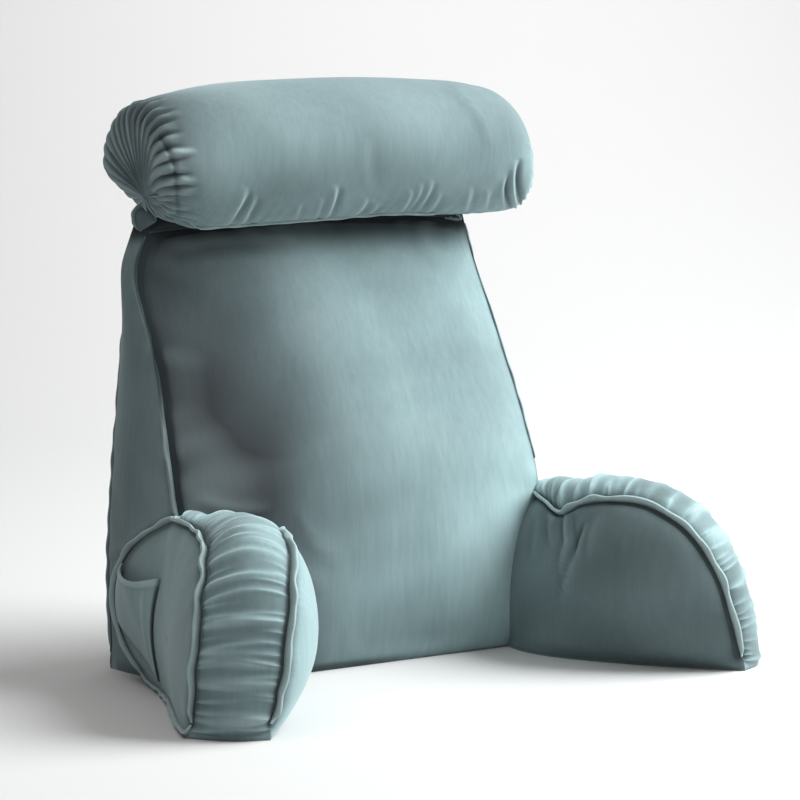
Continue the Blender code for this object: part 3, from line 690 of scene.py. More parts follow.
def build_backrest(view, shift, finish):
    grid, first, last = backrest_grid(shift)
    normals = outward(grid)
    front = PANEL_RINGS - 1
    back = PANEL_RINGS + GUSSET_RINGS
    distance = from_seams(PANEL_RINGS, GUSSET_RINGS, BACKREST_REACH, GUSSET_WIDTH)
    off_floor = smooth_step(grid[..., 2], 0.004, 0.03)
    lift = puckers(distance, grid.shape[1], waves=60, depth=0.0008, reach=0.014, seed=11)
    shown = 1 - 0.85 * smooth_step(grid[..., 0], *PINCH_SHOWN)
    lift = lift + 0.0011 * soft_noise(grid, size=0.17, seed=5)
    lift = lift + 0.0003 * soft_noise(grid, size=0.05, seed=6)
    lift = lift + folds_seen(view, grid, normals, BACKREST_FOLDS)
    lift = lift + seam_pinch(distance, *BACKREST_PINCH) * shown
    grid = grid + calmed(normals, distance) * (lift * off_floor)[..., None]
    grid[..., 2] = np.maximum(grid[..., 2], 0.0)
    # Folds paler on their ridges and darker with painted shade in their valleys, and painted shade along
    # the seams
    worn_and_shaded = lift * FOLD_WEAR_AND_SHADING * off_floor - seam_painted_shade(distance) * shown
    # Painted shade in the groove beside the front seam
    beside = bell(distance[:front], GROOVE[1], GROOVE[0])
    worn_and_shaded[:front] -= GROOVE_PAINTED_SHADE * beside * shown[:front] * off_floor[:front]
    painted_light = backrest_painted_light(grid)
    return solid("backrest_cushion", grid, first, last, worn_and_shaded, finish, painted_light), grid, (front, back)


def arm_to_world(local, side, shift):
    """Points given along, across and up a curving arm, set out from its root on the given side."""
    turn = (ARM_TIP_ANGLE - ARM_ROOT_ANGLE) / ARM_LENGTH
    on_curve = np.clip(local[..., 0], 0.0, ARM_LENGTH)
    beyond = local[..., 0] - on_curve
    angle = ARM_ROOT_ANGLE + turn * on_curve
    x = ARM_ROOT_X - (np.cos(angle) - math.cos(ARM_ROOT_ANGLE)) / turn + beyond * np.sin(angle)
    y = shift - (np.sin(angle) - math.sin(ARM_ROOT_ANGLE)) / turn - beyond * np.cos(angle)
    x = x + local[..., 1] * np.cos(angle)
    y = y + local[..., 1] * np.sin(angle)
    return np.stack([side * x, y, local[..., 2]], axis=-1)


def arm_seams():
    """The inner and outer seam loops, and where each point lies along the gathered band."""
    top = through(ARM_TOP, ARM_TOP_STATIONS)
    rear = through(ARM_REAR, ARM_REAR_STATIONS)[1:][::-1]
    base = np.linspace(top[-1], rear[0], ARM_BASE_STATIONS)[1:-1]
    from_tip = np.linspace(0, 1, ARM_BASE_STATIONS)[1:-1]
    base[:, 2] -= ARM_BASE_SWELL[0] * np.sin(math.pi * from_tip**ARM_BASE_SKEW[0])
    base[:, 4] += ARM_BASE_SWELL[1] * np.sin(math.pi * from_tip**ARM_BASE_SKEW[1])
    rows = np.concatenate([top, base, rear])
    rows[:, 2] += wander(len(rows), size=0.0010, waves=15, seed=61)
    rows[:, 4] += wander(len(rows), size=0.0013, waves=13, seed=62)
    along_band = np.full(len(rows), -1.0)
    along_band[:len(top)] = np.linspace(0, 1, len(top))
    return rows[:, [0, 2, 1]], rows[:, [0, 4, 3]], along_band


def gather_lift(along_band, share, seed):
    """Gathers of one band: short sharp ones off each seam and a few long ones right across it."""
    rng = np.random.default_rng(seed)
    a = along_band[None, :]
    s = share[:, None]
    bowed = a + GATHER_ARC * np.sin(math.pi * s)
    lift = np.zeros((len(share), len(along_band)))
    for from_seam in (s, 1 - s):
        for k in range(GATHERS):
            place = (k + rng.uniform(0.0, 1.0)) / GATHERS
            depth = GATHER_DEPTH * rng.uniform(0.35, 1.0)
            reach = rng.uniform(0.10, 0.45)
            width = rng.uniform(0.0030, 0.0066) * (1 + 1.6 * from_seam)
            near = np.abs(bowed - place - rng.uniform(-0.03, 0.03) * from_seam) / width
            lift += depth * np.exp(-near**1.4) * np.exp(-(from_seam / reach) ** 1.5)
    for k in range(LONG_GATHERS):
        place = (k + rng.uniform(0.0, 1.0)) / LONG_GATHERS
        depth = GATHER_DEPTH * rng.uniform(0.25, 0.75)
        width = rng.uniform(0.006, 0.013)
        near = np.abs(bowed - place - rng.uniform(-0.03, 0.03) * (s - 0.5)) / width
        lift += depth * np.exp(-near**1.6) * (0.55 + 0.45 * np.cos(math.pi * (s - rng.uniform(0.0, 1.0))))
    rise = 1 - np.exp(-np.minimum(s, 1 - s) * BAND_WIDTH / 0.0035)
    fade = smooth_step(a, 0.0, 0.05) * smooth_step(1 - a, 0.0, 0.02)
    return np.where(a >= 0, (lift - GATHER_DEPTH * 0.55) * rise * fade, 0.0)


def arm_grid(seed):
    """Every ring of an arm in its own frame, from the inner panel to the outer one."""
    inner, outer, along_band = arm_seams()
    inner_middle = np.array([ARM_MIDDLE[0], inner[:, 1].mean(), ARM_MIDDLE[1]])
    outer_middle = np.array([ARM_MIDDLE[0], outer[:, 1].mean(), ARM_MIDDLE[1]])
    inwards = np.array([0.0, -1.0, 0.0])
    rings = panel(inner, inner_middle, inwards, ARM_INNER_CROWN, ARM_PANEL_RINGS)
    radial = inner - inner_middle
    radial[:, 1] = 0.0
    radial = unit(radial)
    share = crossing(ARM_BAND_RINGS)
    towards_tip = smooth_step(along_band, 0.35, 0.75)
    crown = ARM_BAND_CROWN[0] + (ARM_BAND_CROWN[1] - ARM_BAND_CROWN[0]) * towards_tip
    gathers = gather_lift(along_band, share, seed)
    ends = np.clip(along_band / ARM_ROOT_FADE[0], ARM_ROOT_FADE[1], 1)
    ends = ends * np.sqrt(1 - (1 - np.clip((1 - along_band) / ARM_TIP_FADE, 0, 1)) ** 2)
    for k, s in enumerate(share):
        between = inner + (outer - inner) * s
        swell = crown * math.sin(math.pi * s) ** 0.8
        lift = np.where(along_band >= 0, swell * ends, 0.0) + gathers[k]
        on_base = (along_band < 0) & (between[:, 2] < ARM_BAND_LOW)
        between = between + radial * lift[:, None]
        low = on_base | (between[:, 2] < ARM_BAND_LOW)
        between[:, 2] = np.where(low, 0.0, between[:, 2])
        rings.append(between)
    rings.extend(reversed(panel(outer, outer_middle, -inwards, ARM_OUTER_CROWN, ARM_PANEL_RINGS)))
    first = inner_middle + inwards * ARM_INNER_CROWN
    last = outer_middle - inwards * ARM_OUTER_CROWN
    worn_and_shaded = np.zeros((len(rings), len(inner)))
    # Gathers paler on their ridges, as rubbed and as a painted highlight, and darker with painted shade in
    # their valleys; the whole band a little paler
    worn_and_shaded[ARM_PANEL_RINGS:ARM_PANEL_RINGS + ARM_BAND_RINGS] = gathers * GATHER_WEAR_AND_SHADING + 0.25
    return np.array(rings), first, last, worn_and_shaded, along_band


def build_arm(name, side, view, shift, finish, folds, inner_painted_light, seed):
    local, first, last, worn_and_shaded, along_band = arm_grid(seed)
    grid = arm_to_world(local, side, shift)
    first = arm_to_world(first[None], side, shift)[0]
    last = arm_to_world(last[None], side, shift)[0]
    normals = outward(grid)
    inner = ARM_PANEL_RINGS - 1
    outer = ARM_PANEL_RINGS + ARM_BAND_RINGS
    distance = from_seams(ARM_PANEL_RINGS, ARM_BAND_RINGS, ARM_REACH, BAND_WIDTH)
    on_panel = np.ones((len(grid), 1))
    on_panel[inner:outer + 1] = 0.0
    lift = puckers(distance, grid.shape[1], waves=60, depth=0.0003, reach=0.008, seed=seed + 3) * on_panel
    lift = lift + 0.0010 * soft_noise(grid, 0.09, seed)
    lift = lift + folds_seen(view, grid, normals, folds)
    groove = np.zeros_like(distance)
    beside = slice(inner + 1, outer) if side < 0 else slice(0, inner)
    groove[beside] = bell(distance[beside], GROOVE[1], GROOVE[0])
    groove = groove * smooth_step(grid[..., 2], 0.008, 0.026)
    lift = lift + seam_pinch(distance, *ARM_PINCH) - GROOVE[2] * groove
    off_floor = smooth_step(grid[..., 2], 0.003, 0.02)
    grid = grid + calmed(normals, distance) * (lift * off_floor)[..., None]
    grid[..., 2] = np.maximum(grid[..., 2], 0.0)
    # Folds and gathers paler on their ridges and darker with painted shade in their valleys, with painted
    # shade along the seams and in the groove beside the inner seam
    worn_and_shaded = worn_and_shaded + lift * FOLD_WEAR_AND_SHADING * off_floor - off_floor * seam_painted_shade(distance)
    worn_and_shaded = worn_and_shaded - GROOVE_PAINTED_SHADE * groove
    # Painted light: the bands paler higher up; the inner panel gets the given painted light, the outer
    # panel a little painted shade
    painted_light = BAND_PAINTED_LIGHT[0] + BAND_PAINTED_LIGHT[1] * smooth_step(grid[..., 2], *BAND_PAINTED_LIGHT_SPAN)
    painted_light[:inner + 1] = inner_painted_light
    painted_light[outer:] = OUTER_PAINTED_SHADE
    return solid(name, grid, first, last, worn_and_shaded, finish, painted_light), grid, (inner, outer), along_band


def bump_between(angle, start, end, edge):
    """1 between two angles round the roll, in degrees, fading over the edge's degrees."""
    middle = (start + end) / 2
    away = np.abs((np.degrees(angle) - middle + 180) % 360 - 180)
    return 1 - smooth_step(away, (end - start) / 2 - edge / 2, (end - start) / 2 + edge / 2)


def roll_grid(centre):
    """The neck roll's sections: pleats with sharp valleys that deepen towards both gathered ends."""
    angle = np.linspace(0, 2 * math.pi, ROLL_SPOKES, endpoint=False)
    sections = through(ROLL, ROLL_SECTIONS)
    rings, worn_and_shaded = [], []
    drift = wander(ROLL_SPOKES, size=0.55, waves=7, seed=23)
    strength = np.clip(0.8 + wander(ROLL_SPOKES, size=0.3, waves=24, seed=24), 0.3, 1.2)
    uneven = wander(ROLL_SPOKES, size=0.007, waves=26, seed=25)
    left_side = 0.30 + 0.70 * bump_between(angle, start=20, end=204, edge=24)
    right_side = 0.10 + 0.60 * bump_between(angle, start=290, end=350, edge=40)
    half = len(sections) // 2
    for k, (x, radius, drop) in enumerate(sections):
        left = k < half
        start, full = LEFT_PLEATS if left else RIGHT_PLEATS
        on_face = smooth_step(radius, *END_FACE) * (abs(x) > start)
        side = left_side if left else right_side
        amount = np.maximum(smooth_step(abs(x), start + uneven, full + uneven), on_face)
        amount = amount * (side + (1 - side) * on_face)
        twist = 0.9 * on_face if left else -0.9 * on_face
        phase = (ROLL_PLEATS * angle + 2.0 * drift + twist) / 2
        pleat = np.abs(np.sin(phase)) ** 0.8 * 2 - 1.25
        depth = np.minimum(PLEAT_DEPTH, radius * 0.32) * strength * amount
        reach = radius + pleat * depth
        up = reach * np.sin(angle)
        end_share = np.clip((abs(x) - TILT_START) / TILT_SPAN, 0, 1)
        drawn_in = ROLL_TILT[0 if left else 1] * end_share * np.clip(-up, 0, None)
        rings.append(np.stack([x + drawn_in, reach * np.cos(angle), up - drop], axis=1))
        # Pleat ridges paler and their valleys darker with painted shade
        worn_and_shaded.append(pleat * depth * PLEAT_WEAR_AND_SHADING)
    grid = np.array(rings[1:-1]) + centre
    first = rings[0].mean(axis=0) + centre
    last = rings[-1].mean(axis=0) + centre
    return grid, first, last, np.array(worn_and_shaded[1:-1]), sections[1:-1]


def roll_centre():
    """The middle of the CAD neck roll: its lowest point is on the plain middle stretch."""
    low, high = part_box("bolster")
    middle = max(row[1] for row in ROLL)
    return np.array([0.0, (low.y + high.y) / 2, high.z - middle])


def build_roll(view, finish):
    grid, first, last, worn_and_shaded, sections = roll_grid(roll_centre())
    normals = outward(grid)
    seam = int(round(ROLL_SEAM_TURN / 360 * ROLL_SPOKES))
    angle = np.arange(ROLL_SPOKES) - seam
    from_seam = np.minimum(np.abs(angle), ROLL_SPOKES - np.abs(angle))[None]
    wave = wander(len(grid), size=1.0, waves=46, seed=4)[:, None]
    lift = 0.0008 * wave * np.exp(-from_seam / 8.0) * (1 - np.exp(-from_seam / 2.0))
    lift = lift - 0.0016 * bell(from_seam, 2.2)
    lift = lift + 0.0012 * soft_noise(grid, size=0.12, seed=8)
    lift = lift + folds_seen(view, grid, normals, ROLL_FOLDS)
    # Painted light on the roll, with painted shade at its top and at its left end
    painted_light = ROLL_PAINTED_LIGHT
    for column, (more, span) in ((0, ROLL_END_PAINTED_SHADE), (2, ROLL_TOP_PAINTED_SHADE)):
        painted_light = painted_light + more * smooth_step(grid[..., column], *span)
    grid = grid + normals * lift[..., None]
    # Folds paler on their ridges and darker with painted shade in their valleys
    worn_and_shaded = worn_and_shaded + lift * FOLD_WEAR_AND_SHADING
    return solid("neck_roll", grid, first, last, worn_and_shaded, finish, painted_light), grid, seam, sections


def even_line(points, spacing):
    """The same line with points a spacing apart. Columns after the first three go along."""
    steps = np.linalg.norm(np.diff(points[:, :3], axis=0), axis=1)
    at = np.concatenate([[0.0], np.cumsum(steps)])
    count = max(4, int(at[-1] / spacing))
    where = np.linspace(0, at[-1], count)
    return np.stack([np.interp(where, at, points[:, k]) for k in range(points.shape[1])], axis=1)


def lip(name, base, outwards, finish, seed, height=LIP_HEIGHT, thick=LIP_THICK, painted_light=1.0, curl=None):
    """A seam lip: two layers of cloth standing along a seam, leaning a little to and fro."""
    line = even_line(np.concatenate([settle_line(base, 7), unit(outwards)], axis=1), LIP_STEP)
    base = line[:, :3]
    outwards = unit(line[:, 3:])
    count = len(base)
    at = np.arange(count) * LIP_STEP
    waves = max(8, int(at[-1] / LIP_WAVE))
    lean = wander(count, 0.0009, waves, seed)[:, None]
    tall = 1 + wander(count, 0.10, waves, seed + 1)
    tall = tall * smooth_step(at, -0.004, LIP_TAPER) * smooth_step(at[-1] - at, -0.004, LIP_TAPER)
    if curl is not None:
        nearest = np.linalg.norm(base - curl, axis=1).argmin()
        tall = tall * (1 + CURL_RISE * bell(at, CURL_SPAN, at[nearest]))
    sideways = unit(np.cross(unit(np.gradient(base, axis=0)), outwards))
    foot = base + outwards * LIP_SEAT
    rows = []
    for across, up in LIP_SECTION:
        aside = sideways * (across * thick + lean * up)
        rise = outwards * (up * height * tall)[:, None]
        rows.append(foot + aside + rise)
    points = np.stack(rows, axis=1)
    size = len(LIP_SECTION)
    index = np.arange(count * size).reshape(count, size)
    faces = ring_quads(index).tolist() + [index[0][::-1].tolist(), index[-1].tolist()]
    # Darker at the lip's foot with painted shade, paler towards its top with a painted highlight
    worn_and_shaded = np.tile(np.array([-0.5 + 1.1 * up for _, up in LIP_SECTION]), count)
    made = from_faces(name, points.reshape(-1, 3), faces, finish, worn_and_shaded, painted_light)
    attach(made, "root")
    return made


def lip_direction(grid, seam, lean, step=6):
    """Out of a seam between its two surfaces. Lean tips it to the rings before (-) or after (+)."""
    before = unit(grid[seam - step] - grid[seam])
    after = unit(grid[seam + step] - grid[seam])
    tip = after * lean if lean > 0 else before * -lean
    return unit(unit(-before - after) + tip)


def settle_line(line, width):
    """Even out a line of directions or places over a few neighbours."""
    kernel = np.ones(width) / width
    padded = np.concatenate([np.repeat(line[:1], width // 2, axis=0), line,
                             np.repeat(line[-1:], width // 2, axis=0)])
    return np.stack([np.convolve(padded[:, k], kernel, mode="valid") for k in range(3)], axis=1)[:len(line)]


def build_backrest_lips(grid, seams, finish):
    front, back = seams
    right = slice(0, SIDE_STATIONS)
    over = slice(SIDE_STATIONS - 1, SIDE_STATIONS + ACROSS_STATIONS - 1)
    left = slice(SIDE_STATIONS + ACROSS_STATIONS - 2, 2 * SIDE_STATIONS + ACROSS_STATIONS - 2)
    out = settle_line(lip_direction(grid, front, lean=0.5), 13)
    for k, (name, start, height, painted_light) in enumerate(FRONT_LIPS):
        stations = left if name == "left" else right
        seam = grid[front][stations]
        above = seam[:, 2] > start
        made = lip("backrest_" + name + "_lip", seam[above], out[stations][above], finish, 31 + k, height,
                   painted_light=painted_light)
        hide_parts("backrest_" + name + "_welt")
    top = grid[front][over]
    top_out = unit(out[over] + np.array([0.0, -0.5, 0.0]))
    ends = (("left", slice(-TOP_LIP_STATIONS[0], None)), ("right", slice(0, TOP_LIP_STATIONS[1])))
    for k, (name, part) in enumerate(ends):
        # The top lips in painted shade
        lip("backrest_top_" + name + "_lip", top[part], top_out[part], finish, 36 + k, TOP_LIP_HEIGHT,
            painted_light=0.3)
    seam = grid[back]
    off_floor = seam[:, 2] > LIP_HEIGHT + 0.004
    radial = seam - np.array(BACK_MIDDLE) * np.array([1.0, 0.0, 1.0])
    radial[:, 1] = 0.0
    out = unit(0.5 * unit(radial) + np.array([0.0, 0.85, 0.0]))[off_floor]
    # The back lip in painted shade
    made = lip("backrest_back_lip", seam[off_floor], out, finish, 33, BACK_LIP_HEIGHT, painted_light=0.5)
    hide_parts("backrest_back_welt")


def arm_lip_directions(loop, across, side, shift):
    """Out of an arm's seam: away from its panel's middle and, as far as across says, to its side."""
    middle = np.array([ARM_MIDDLE[0], 0.0, ARM_MIDDLE[1]])
    radial = loop - middle
    radial[:, 1] = 0.0
    out = unit(unit(radial) + np.array([0.0, across, 0.0]))
    out[loop[:, 2] < 0.02, 2] = np.maximum(out[loop[:, 2] < 0.02, 2], 0.35)
    tiny = 0.001
    moved = arm_to_world(loop + out * tiny, side, shift) - arm_to_world(loop, side, shift)
    return unit(moved)


def build_arm_lips(side_name, side, shift, grid, seams, along_band, view, finish, seed):
    """Lips along an arm's seams: up the rear, over the top and down the tip; the outer also at the foot."""
    inner, outer = seams
    inner_loop, outer_loop, _ = arm_seams()
    tip = int(np.argmax(along_band > ARM_LIP_END))
    around = np.roll(np.arange(len(along_band)), -tip)
    part = around[-(tip + ARM_REAR_STATIONS - 8):]
    lean = INNER_LIP_LEAN[side_name]
    out = settle_line(arm_lip_directions(inner_loop, lean, side, shift)[part], 9)
    curl = None
    if side_name == "left":
        seen = view.picture(grid[inner][:tip])
        curl = grid[inner][np.linalg.norm(seen - np.array(LEFT_CURL), axis=1).argmin()]
    made = lip("arm_" + side_name + "_inner_lip", grid[inner][part], out, finish, seed, ARM_INNER_LIP,
               ARM_LIP_THICK, curl=curl)
    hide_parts("arm_" + side_name + "_inner_welt")
    # The outer lips a little darker with painted shade
    out = settle_line(arm_lip_directions(outer_loop, OUTER_LIP_LEAN, side, shift)[around], 9)
    made = lip("arm_" + side_name + "_outer_lip", grid[outer][around], out, finish, seed + 1, ARM_OUTER_LIP,
               ARM_LIP_THICK, painted_light=0.9)
    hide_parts("arm_" + side_name + "_outer_welt")


def build_roll_lip(grid, seam, sections, finish):
    along = grid[:, seam, 0]
    kept = (along > ROLL_LIP_SPAN[0]) & (along < ROLL_LIP_SPAN[1]) & (sections[:, 1] > ROLL_LIP_RADIUS)
    base = grid[kept, seam]
    turn = math.radians(ROLL_SEAM_TURN)
    out = np.tile(np.array([0.0, math.cos(turn), math.sin(turn)]), (len(base), 1))
    made = lip("neck_roll_lip", base, out, finish, 41, height=0.0040, thick=0.0030)
    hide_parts("bolster_welt")


def build_ear(name, edge, view, corner, cloth, finish, painted_light, seed):
    """A corner of the backrest pinched into a rounded lobe, with the seam's lip round it.

    Its edge is where the lobe shows in the picture, laid on an upright plane through the corner.
    """
    facing = unit(np.array(EAR_FACING))
    rays = [view.ray(x, y) for x, y in edge]
    depth = [((corner - view.place) @ facing) / (ray @ facing) for ray in rays]
    line = through([view.place + ray * d for ray, d in zip(rays, depth)], 60)
    middle = line.mean(axis=0)
    within = middle + (line - middle) * EAR_INSET
    loop = np.concatenate([within, np.linspace(within[-1], within[0], 22)[1:-1]])
    rings = []
    for turn in np.linspace(-1, 1, 25)[1:-1]:
        share = math.cos(turn * math.pi / 2) ** 0.6
        rings.append(middle + (loop - middle) * share - facing * EAR_THICK * math.sin(turn * math.pi / 2))
    rings = np.array(rings)
    first = middle + facing * EAR_THICK
    last = middle - facing * EAR_THICK
    lobe = solid(name, rings, first, last, np.zeros(rings.shape[:2]), cloth, painted_light)
    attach(lobe, "root")
    lip(name + "_lip", within, unit(within - middle), finish, seed, EAR_LIP, 0.0034, painted_light=painted_light)


def tree_of(piece):
    mesh = piece.data
    points = [v.co.copy() for v in mesh.vertices]
    return BVHTree.FromPolygons(points, [tuple(p.vertices) for p in mesh.polygons])


def pocket_back(height):
    """Where the pocket's rear edge lies: just inside the arm's rear seam."""
    rear = through(ARM_REAR, 40)[::-1]
    return np.interp(height, rear[:, 3], rear[:, 0]) + POCKET_INSET


def build_pocket(arm, shift, finish):
    """A sheet over the outer panel: sewn down at its sides and bottom, its top lip standing off."""
    arm_tree = tree_of(arm)
    crease_height, crease_width = POCKET_CREASE
    inner, outer, worn_and_shaded = [], [], []
    for v in np.linspace(0, 1, POCKET_STEPS):
        for s in np.linspace(0, 1, POCKET_STEPS):
            height = POCKET_LOW + (POCKET_HIGH - POCKET_LOW - POCKET_DIP * math.sin(math.pi * s)) * v
            height += POCKET_RISE * (1 - v) * (1 - s)
            back = pocket_back(height)
            u = back + (POCKET_FRONT - back) * s
            start = arm_to_world(np.array([[u, ARM_LENGTH, height]]), -1, shift)[0]
            outside = unit(start - arm_to_world(np.array([[u, 0.0, height]]), -1, shift)[0])
            hit, normal, _, _ = arm_tree.ray_cast(Vector(start), Vector(-outside))
            if hit is None:
                raise ValueError("the pocket reaches past the arm at %.3f, %.3f" % (u, height))
            lift = POCKET_SEAT + POCKET_GAPE * math.sin(math.pi * s) ** POCKET_FULL * v**POCKET_SLACK
            fold = 0.0010 * math.sin(9 * s + 4 * v) * math.sin(math.pi * s) * v
            crease = crease_height * bell(s + 0.05 * v, crease_width, 0.86) * math.sin(math.pi * v)
            hem = HEM * smooth_step(v, 0.90, 0.93) - 0.0006 * bell(v, 0.012, 0.905)
            face = np.array(hit)
            outwards = unit(0.5 * np.array(normal) + 0.5 * outside)
            inner.append(face + outwards * (lift + max(fold, 0.0)))
            outer.append(face + outwards * (lift + max(fold, 0.0) + CLOTH + hem + crease))
            sewn = 1 - smooth_step(min(s, 1 - s, v), 0.0, 0.03)
            # Paler at the hem with a painted highlight, darker with painted shade along the sewn edges, and
            # paler along the crease
            worn_and_shaded.append(0.9 * smooth_step(v, 0.90, 0.95) - sewn + crease * CREASE_WEAR_AND_SHADING)
    count = POCKET_STEPS * POCKET_STEPS
    index = np.arange(count).reshape(POCKET_STEPS, POCKET_STEPS)
    corners = [index[:-1, :-1], index[:-1, 1:], index[1:, 1:], index[1:, :-1]]
    quads = np.stack(corners, axis=-1).reshape(-1, 4)
    faces = quads.tolist() + (quads[:, ::-1] + count).tolist()
    rim = list(index[0]) + list(index[1:, -1]) + list(index[-1, ::-1][1:]) + list(index[::-1, 0][1:-1])
    for k, a in enumerate(rim):
        b = rim[(k + 1) % len(rim)]
        faces.append([int(b), int(a), int(count + a), int(count + b)])
    return from_faces("arm_pocket", np.array(inner + outer), faces, finish, worn_and_shaded + worn_and_shaded)


def build_zip_pull(finish):
    """A small pierced tab with rounded corners, hanging by the bottom seam."""
    low, high = (np.array(corner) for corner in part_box("zip_pull"))
    turns = np.linspace(0, 2 * math.pi, 32, endpoint=False)
    across, up = np.cos(turns), np.sin(turns)
    edge = [np.copysign(np.abs(part) ** PULL_ROUND, part) for part in (across, up)]
    hole = [HOLE_HALF[0] * across, HOLE_HEIGHT + HOLE_HALF[1] * up]
    rings = []
    for face, loop in ((-1.0, edge), (-1.0, hole), (1.0, hole), (1.0, edge)):
        rings.append(np.stack([np.full(len(turns), face), *loop], axis=1))
    points = (low + high) / 2 + np.concatenate(rings) * (high - low) / 2
    index = np.arange(len(points)).reshape(len(rings), len(turns))
    faces = ring_quads(index[[0, 1, 2, 3, 0]]).tolist()
    made = from_faces("zip_tab", points, faces, finish)
    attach(made, "root")
    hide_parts("zip_pull")


def feed(tree, made, inputs):
    """Sets a node's inputs. Each is a plain value or another node's output."""
    for name, value in inputs.items():
        socket = made.inputs[name.replace("_", " ")]
        if isinstance(value, bpy.types.NodeSocket):
            tree.links.new(value, socket)
        else:
            socket.default_value = value


def node(tree, kind, output, **inputs):
    """One output of a new node."""
    made = tree.nodes.new("ShaderNode" + kind)
    feed(tree, made, inputs)
    return made.outputs[output]


def kept_value(tree, name):
    """A value that a mesh keeps for each of its points."""
    made = tree.nodes.new("ShaderNodeAttribute")
    made.attribute_name = name
    return made.outputs["Fac"]


def mixed(tree, factor, first, second, clamped=True):
    """The first colour turned into the second by a factor."""
    made = tree.nodes.new("ShaderNodeMix")
    made.data_type = "RGBA"
    made.clamp_factor = clamped
    feed(tree, made, {"Factor": factor, "A": first, "B": second})
    return made.outputs["Result"]


def weighted(tree, parts):
    """The sum of a few values, each times its own weight."""
    total = 0.0
    for value, weight in parts:
        made = tree.nodes.new("ShaderNodeMath")
        made.operation = "MULTIPLY_ADD"
        tree.links.new(value, made.inputs[0])
        made.inputs[1].default_value = weight
        if total:
            tree.links.new(total, made.inputs[2])
        else:
            made.inputs[2].default_value = total
        total = made.outputs[0]
    return total


def material(name):
    """A new material, its tree of nodes and its main shader."""
    made = bpy.data.materials.new(name)
    made.use_nodes = True
    return made, made.node_tree, made.node_tree.nodes["Principled BSDF"]


def velvet(name, dark, mid, pale):
    """Short-piled velvet: patches and streaks of tone, a fine nap, paler ridges as rubbed and as a painted
    highlight, and painted light and shade kept on the mesh.
    """
    made, tree, shader = material(name)
    wear_and_shading = kept_value(tree, "wear_and_shading")
    painted_light = kept_value(tree, "painted_light")
    place = node(tree, "TexCoord", "Object")
    stretched = node(tree, "Mapping", "Vector", Vector=place, Scale=PATCHES)
    patches = node(tree, "TexNoise", "Fac", Vector=stretched, Scale=1.0, Detail=4.0, Roughness=0.55)
    stretched = node(tree, "Mapping", "Vector", Vector=place, Scale=STREAKS)
    streaks = node(tree, "TexNoise", "Fac", Vector=stretched, Scale=1.0, Detail=3.0, Roughness=0.6)
    nap = node(tree, "TexNoise", "Fac", Vector=place, Scale=NAP, Detail=2.0, Roughness=0.6)
    ramp = tree.nodes.new("ShaderNodeValToRGB")
    for element, position, tone in zip(ramp.color_ramp.elements, (0.30, 0.72), (dark, mid)):
        element.position = position
        element.color = tone
    tree.links.new(weighted(tree, ((patches, 0.72), (streaks, 0.35))), ramp.inputs["Fac"])
    # Painted light and shade: the velvet under painted shade where the mesh's painted light value is 0,
    # paler above 1
    colour = mixed(tree, painted_light, VELVET_PAINTED_SHADE, ramp.outputs["Color"], clamped=False)
    # Paler on ridges, as rubbed and as a painted highlight
    ridge = node(tree, "MapRange", "Result", Value=wear_and_shading, From_Max=1.2, To_Max=0.55)
    colour = mixed(tree, ridge, colour, pale)
    # Darker with painted shade in valleys, seams and grooves
    valley = node(tree, "MapRange", "Result", Value=wear_and_shading, From_Max=-0.9, To_Max=0.84)
    colour = mixed(tree, valley, colour, tuple(0.20 * c for c in dark[:3]) + (1.0,))
    # Less sheen under painted shade, more where the painted light is plain
    sheen = node(tree, "MapRange", "Result", Value=painted_light, To_Min=SHEEN[0], To_Max=SHEEN[1])
    grain = node(tree, "Bump", "Normal", Strength=0.22, Distance=0.0006, Height=nap)
    relief = node(tree, "Bump", "Normal", Strength=0.18, Distance=0.0015, Height=streaks, Normal=grain)
    feed(tree, shader, {
        "Base Color": colour,
        "Roughness": 0.88,
        "Specular IOR Level": 0.18,
        "Sheen Weight": sheen,
        "Sheen Roughness": 0.42,
        "Sheen Tint": SHEEN_TINT,
        "Normal": relief,
    })
    return made


def brushed_metal(name):
    made, tree, shader = material(name)
    place = node(tree, "TexCoord", "Object")
    grain = node(tree, "TexNoise", "Fac", Vector=place, Scale=900.0, Detail=2.0)
    rough = node(tree, "MapRange", "Result", Value=grain, To_Min=0.18, To_Max=0.38)
    feed(tree, shader, {"Metallic": 1.0, "Base Color": METAL_COLOUR, "Roughness": rough})
    return made


def plain_floor():
    """A pale floor that curves up into a pale backdrop far behind."""
    made, tree, shader = material("floor")
    feed(tree, shader, {"Base Color": FLOOR_COLOUR, "Roughness": 0.95})
    profile = [(FLOOR_FRONT, 0.0), (BACKDROP_START, 0.0)]
    for t in np.linspace(0.05, math.pi / 2, 24):
        depth = BACKDROP_START + BACKDROP_BEND * math.sin(t)
        profile.append((depth, BACKDROP_BEND - BACKDROP_BEND * math.cos(t)))
    profile.append((BACKDROP_START + BACKDROP_BEND, BACKDROP_TOP))
    points, faces = [], []
    for depth, height in profile:
        for x in (-FLOOR_HALF, FLOOR_HALF):
            points.append(tuple(Matrix.Rotation(AZIMUTH, 4, "Z") @ Vector((x, depth, height))))
    for k in range(len(profile) - 1):
        faces.append([2 * k, 2 * k + 1, 2 * k + 3, 2 * k + 2])
    mesh = bpy.data.meshes.new("floor")
    mesh.from_pydata(points, [], faces)
    mesh.shade_smooth()
    mesh.materials.append(made)
    floor = placed("floor", mesh)


def area_light(name, place, aim, size, power, colour):
    data = bpy.data.lights.new(name, "AREA")
    data.shape = "DISK"
    data.size = size
    data.energy = power
    data.color = colour
    made = placed(name, data)
    made.location = place
    made.rotation_euler = (Vector(aim) - Vector(place)).to_track_quat("-Z", "Y").to_euler()


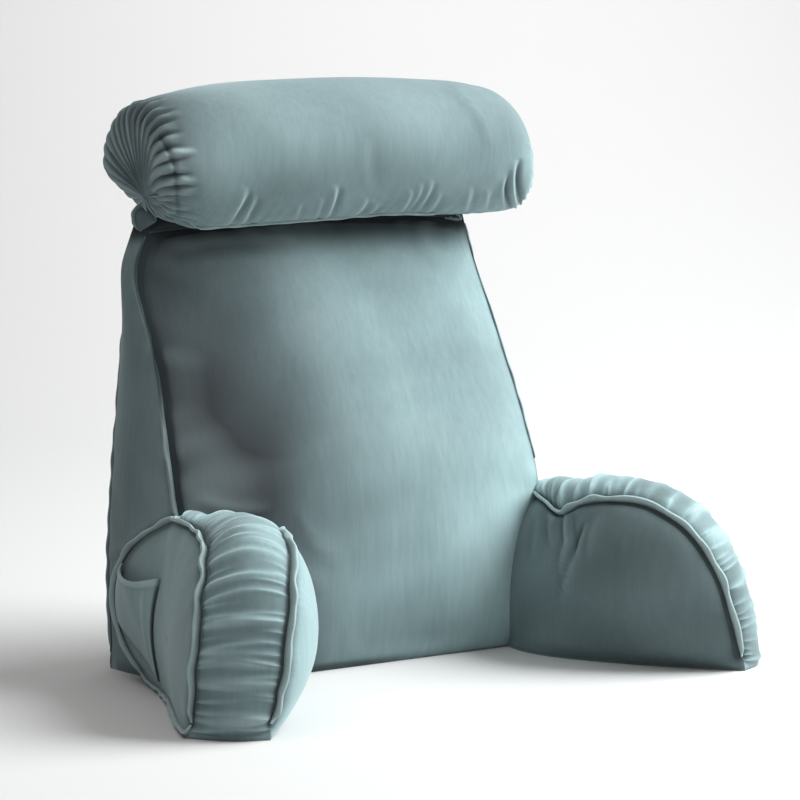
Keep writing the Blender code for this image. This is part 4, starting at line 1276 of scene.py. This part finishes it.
def studio():
    """Plain soft light: a large key high up on the picture's right, and weaker light all round."""
    world = bpy.data.worlds.new("studio")
    world.use_nodes = True
    background = world.node_tree.nodes["Background"]
    feed(world.node_tree, background, {"Color": WORLD_COLOUR, "Strength": WORLD_STRENGTH})
    bpy.context.scene.world = world
    for light in LIGHTS:
        area_light(*light)
    bpy.context.scene.view_settings.view_transform = "Standard"


def main():
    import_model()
    low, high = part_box("zip_pull")
    shift = (low.y + high.y) / 2 - PULL_Y
    view = View(shift)
    view.camera()
    studio()
    plain_floor()
    cloth = velvet("velvet", VELVET_DARK, VELVET_MID, VELVET_PALE)
    # The lips' velvet, paler than the cushions' as a painted highlight
    edge = velvet("velvet_lip", VELVET_MID, LIP_LIT_MID, VELVET_PALE)
    backrest, back_grid, back_seams = build_backrest(view, shift, cloth)
    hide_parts("backrest")
    build_backrest_lips(back_grid, back_seams, edge)
    front_seam = back_grid[back_seams[0]]
    corners = front_seam[SIDE_STATIONS + ACROSS_STATIONS - 2], front_seam[SIDE_STATIONS - 1]
    # The left corner in painted shade, the right one plain
    build_ear("left_corner", LEFT_EAR, view, corners[0], cloth, edge, 0.35, 44)
    build_ear("right_corner", RIGHT_EAR, view, corners[1], cloth, edge, 1.0, 45)
    arms = {}
    sides = (("left", -1, [], LEFT_INNER_PAINTED_LIGHT, 71), ("right", 1, RIGHT_ARM_FOLDS, RIGHT_INNER_PAINTED_SHADE, 83))
    for name, side, folds, painted_light, seed in sides:
        arm, grid, seams, along_band = build_arm("arm_" + name + "_cushion", side, view, shift, cloth,
                                                 folds, painted_light, seed)
        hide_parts("arm_" + name)
        build_arm_lips(name, side, shift, grid, seams, along_band, view, edge, seed)
        arms[name] = arm
    roll, grid, seam, sections = build_roll(view, cloth)
    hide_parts("bolster")
    build_roll_lip(grid, seam, sections, edge)
    pocket = build_pocket(arms["left"], shift, cloth)
    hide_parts("pocket")
    for piece in (backrest, arms["left"], arms["right"], roll, pocket):
        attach(piece, "root")
    build_zip_pull(brushed_metal("metal"))


main()
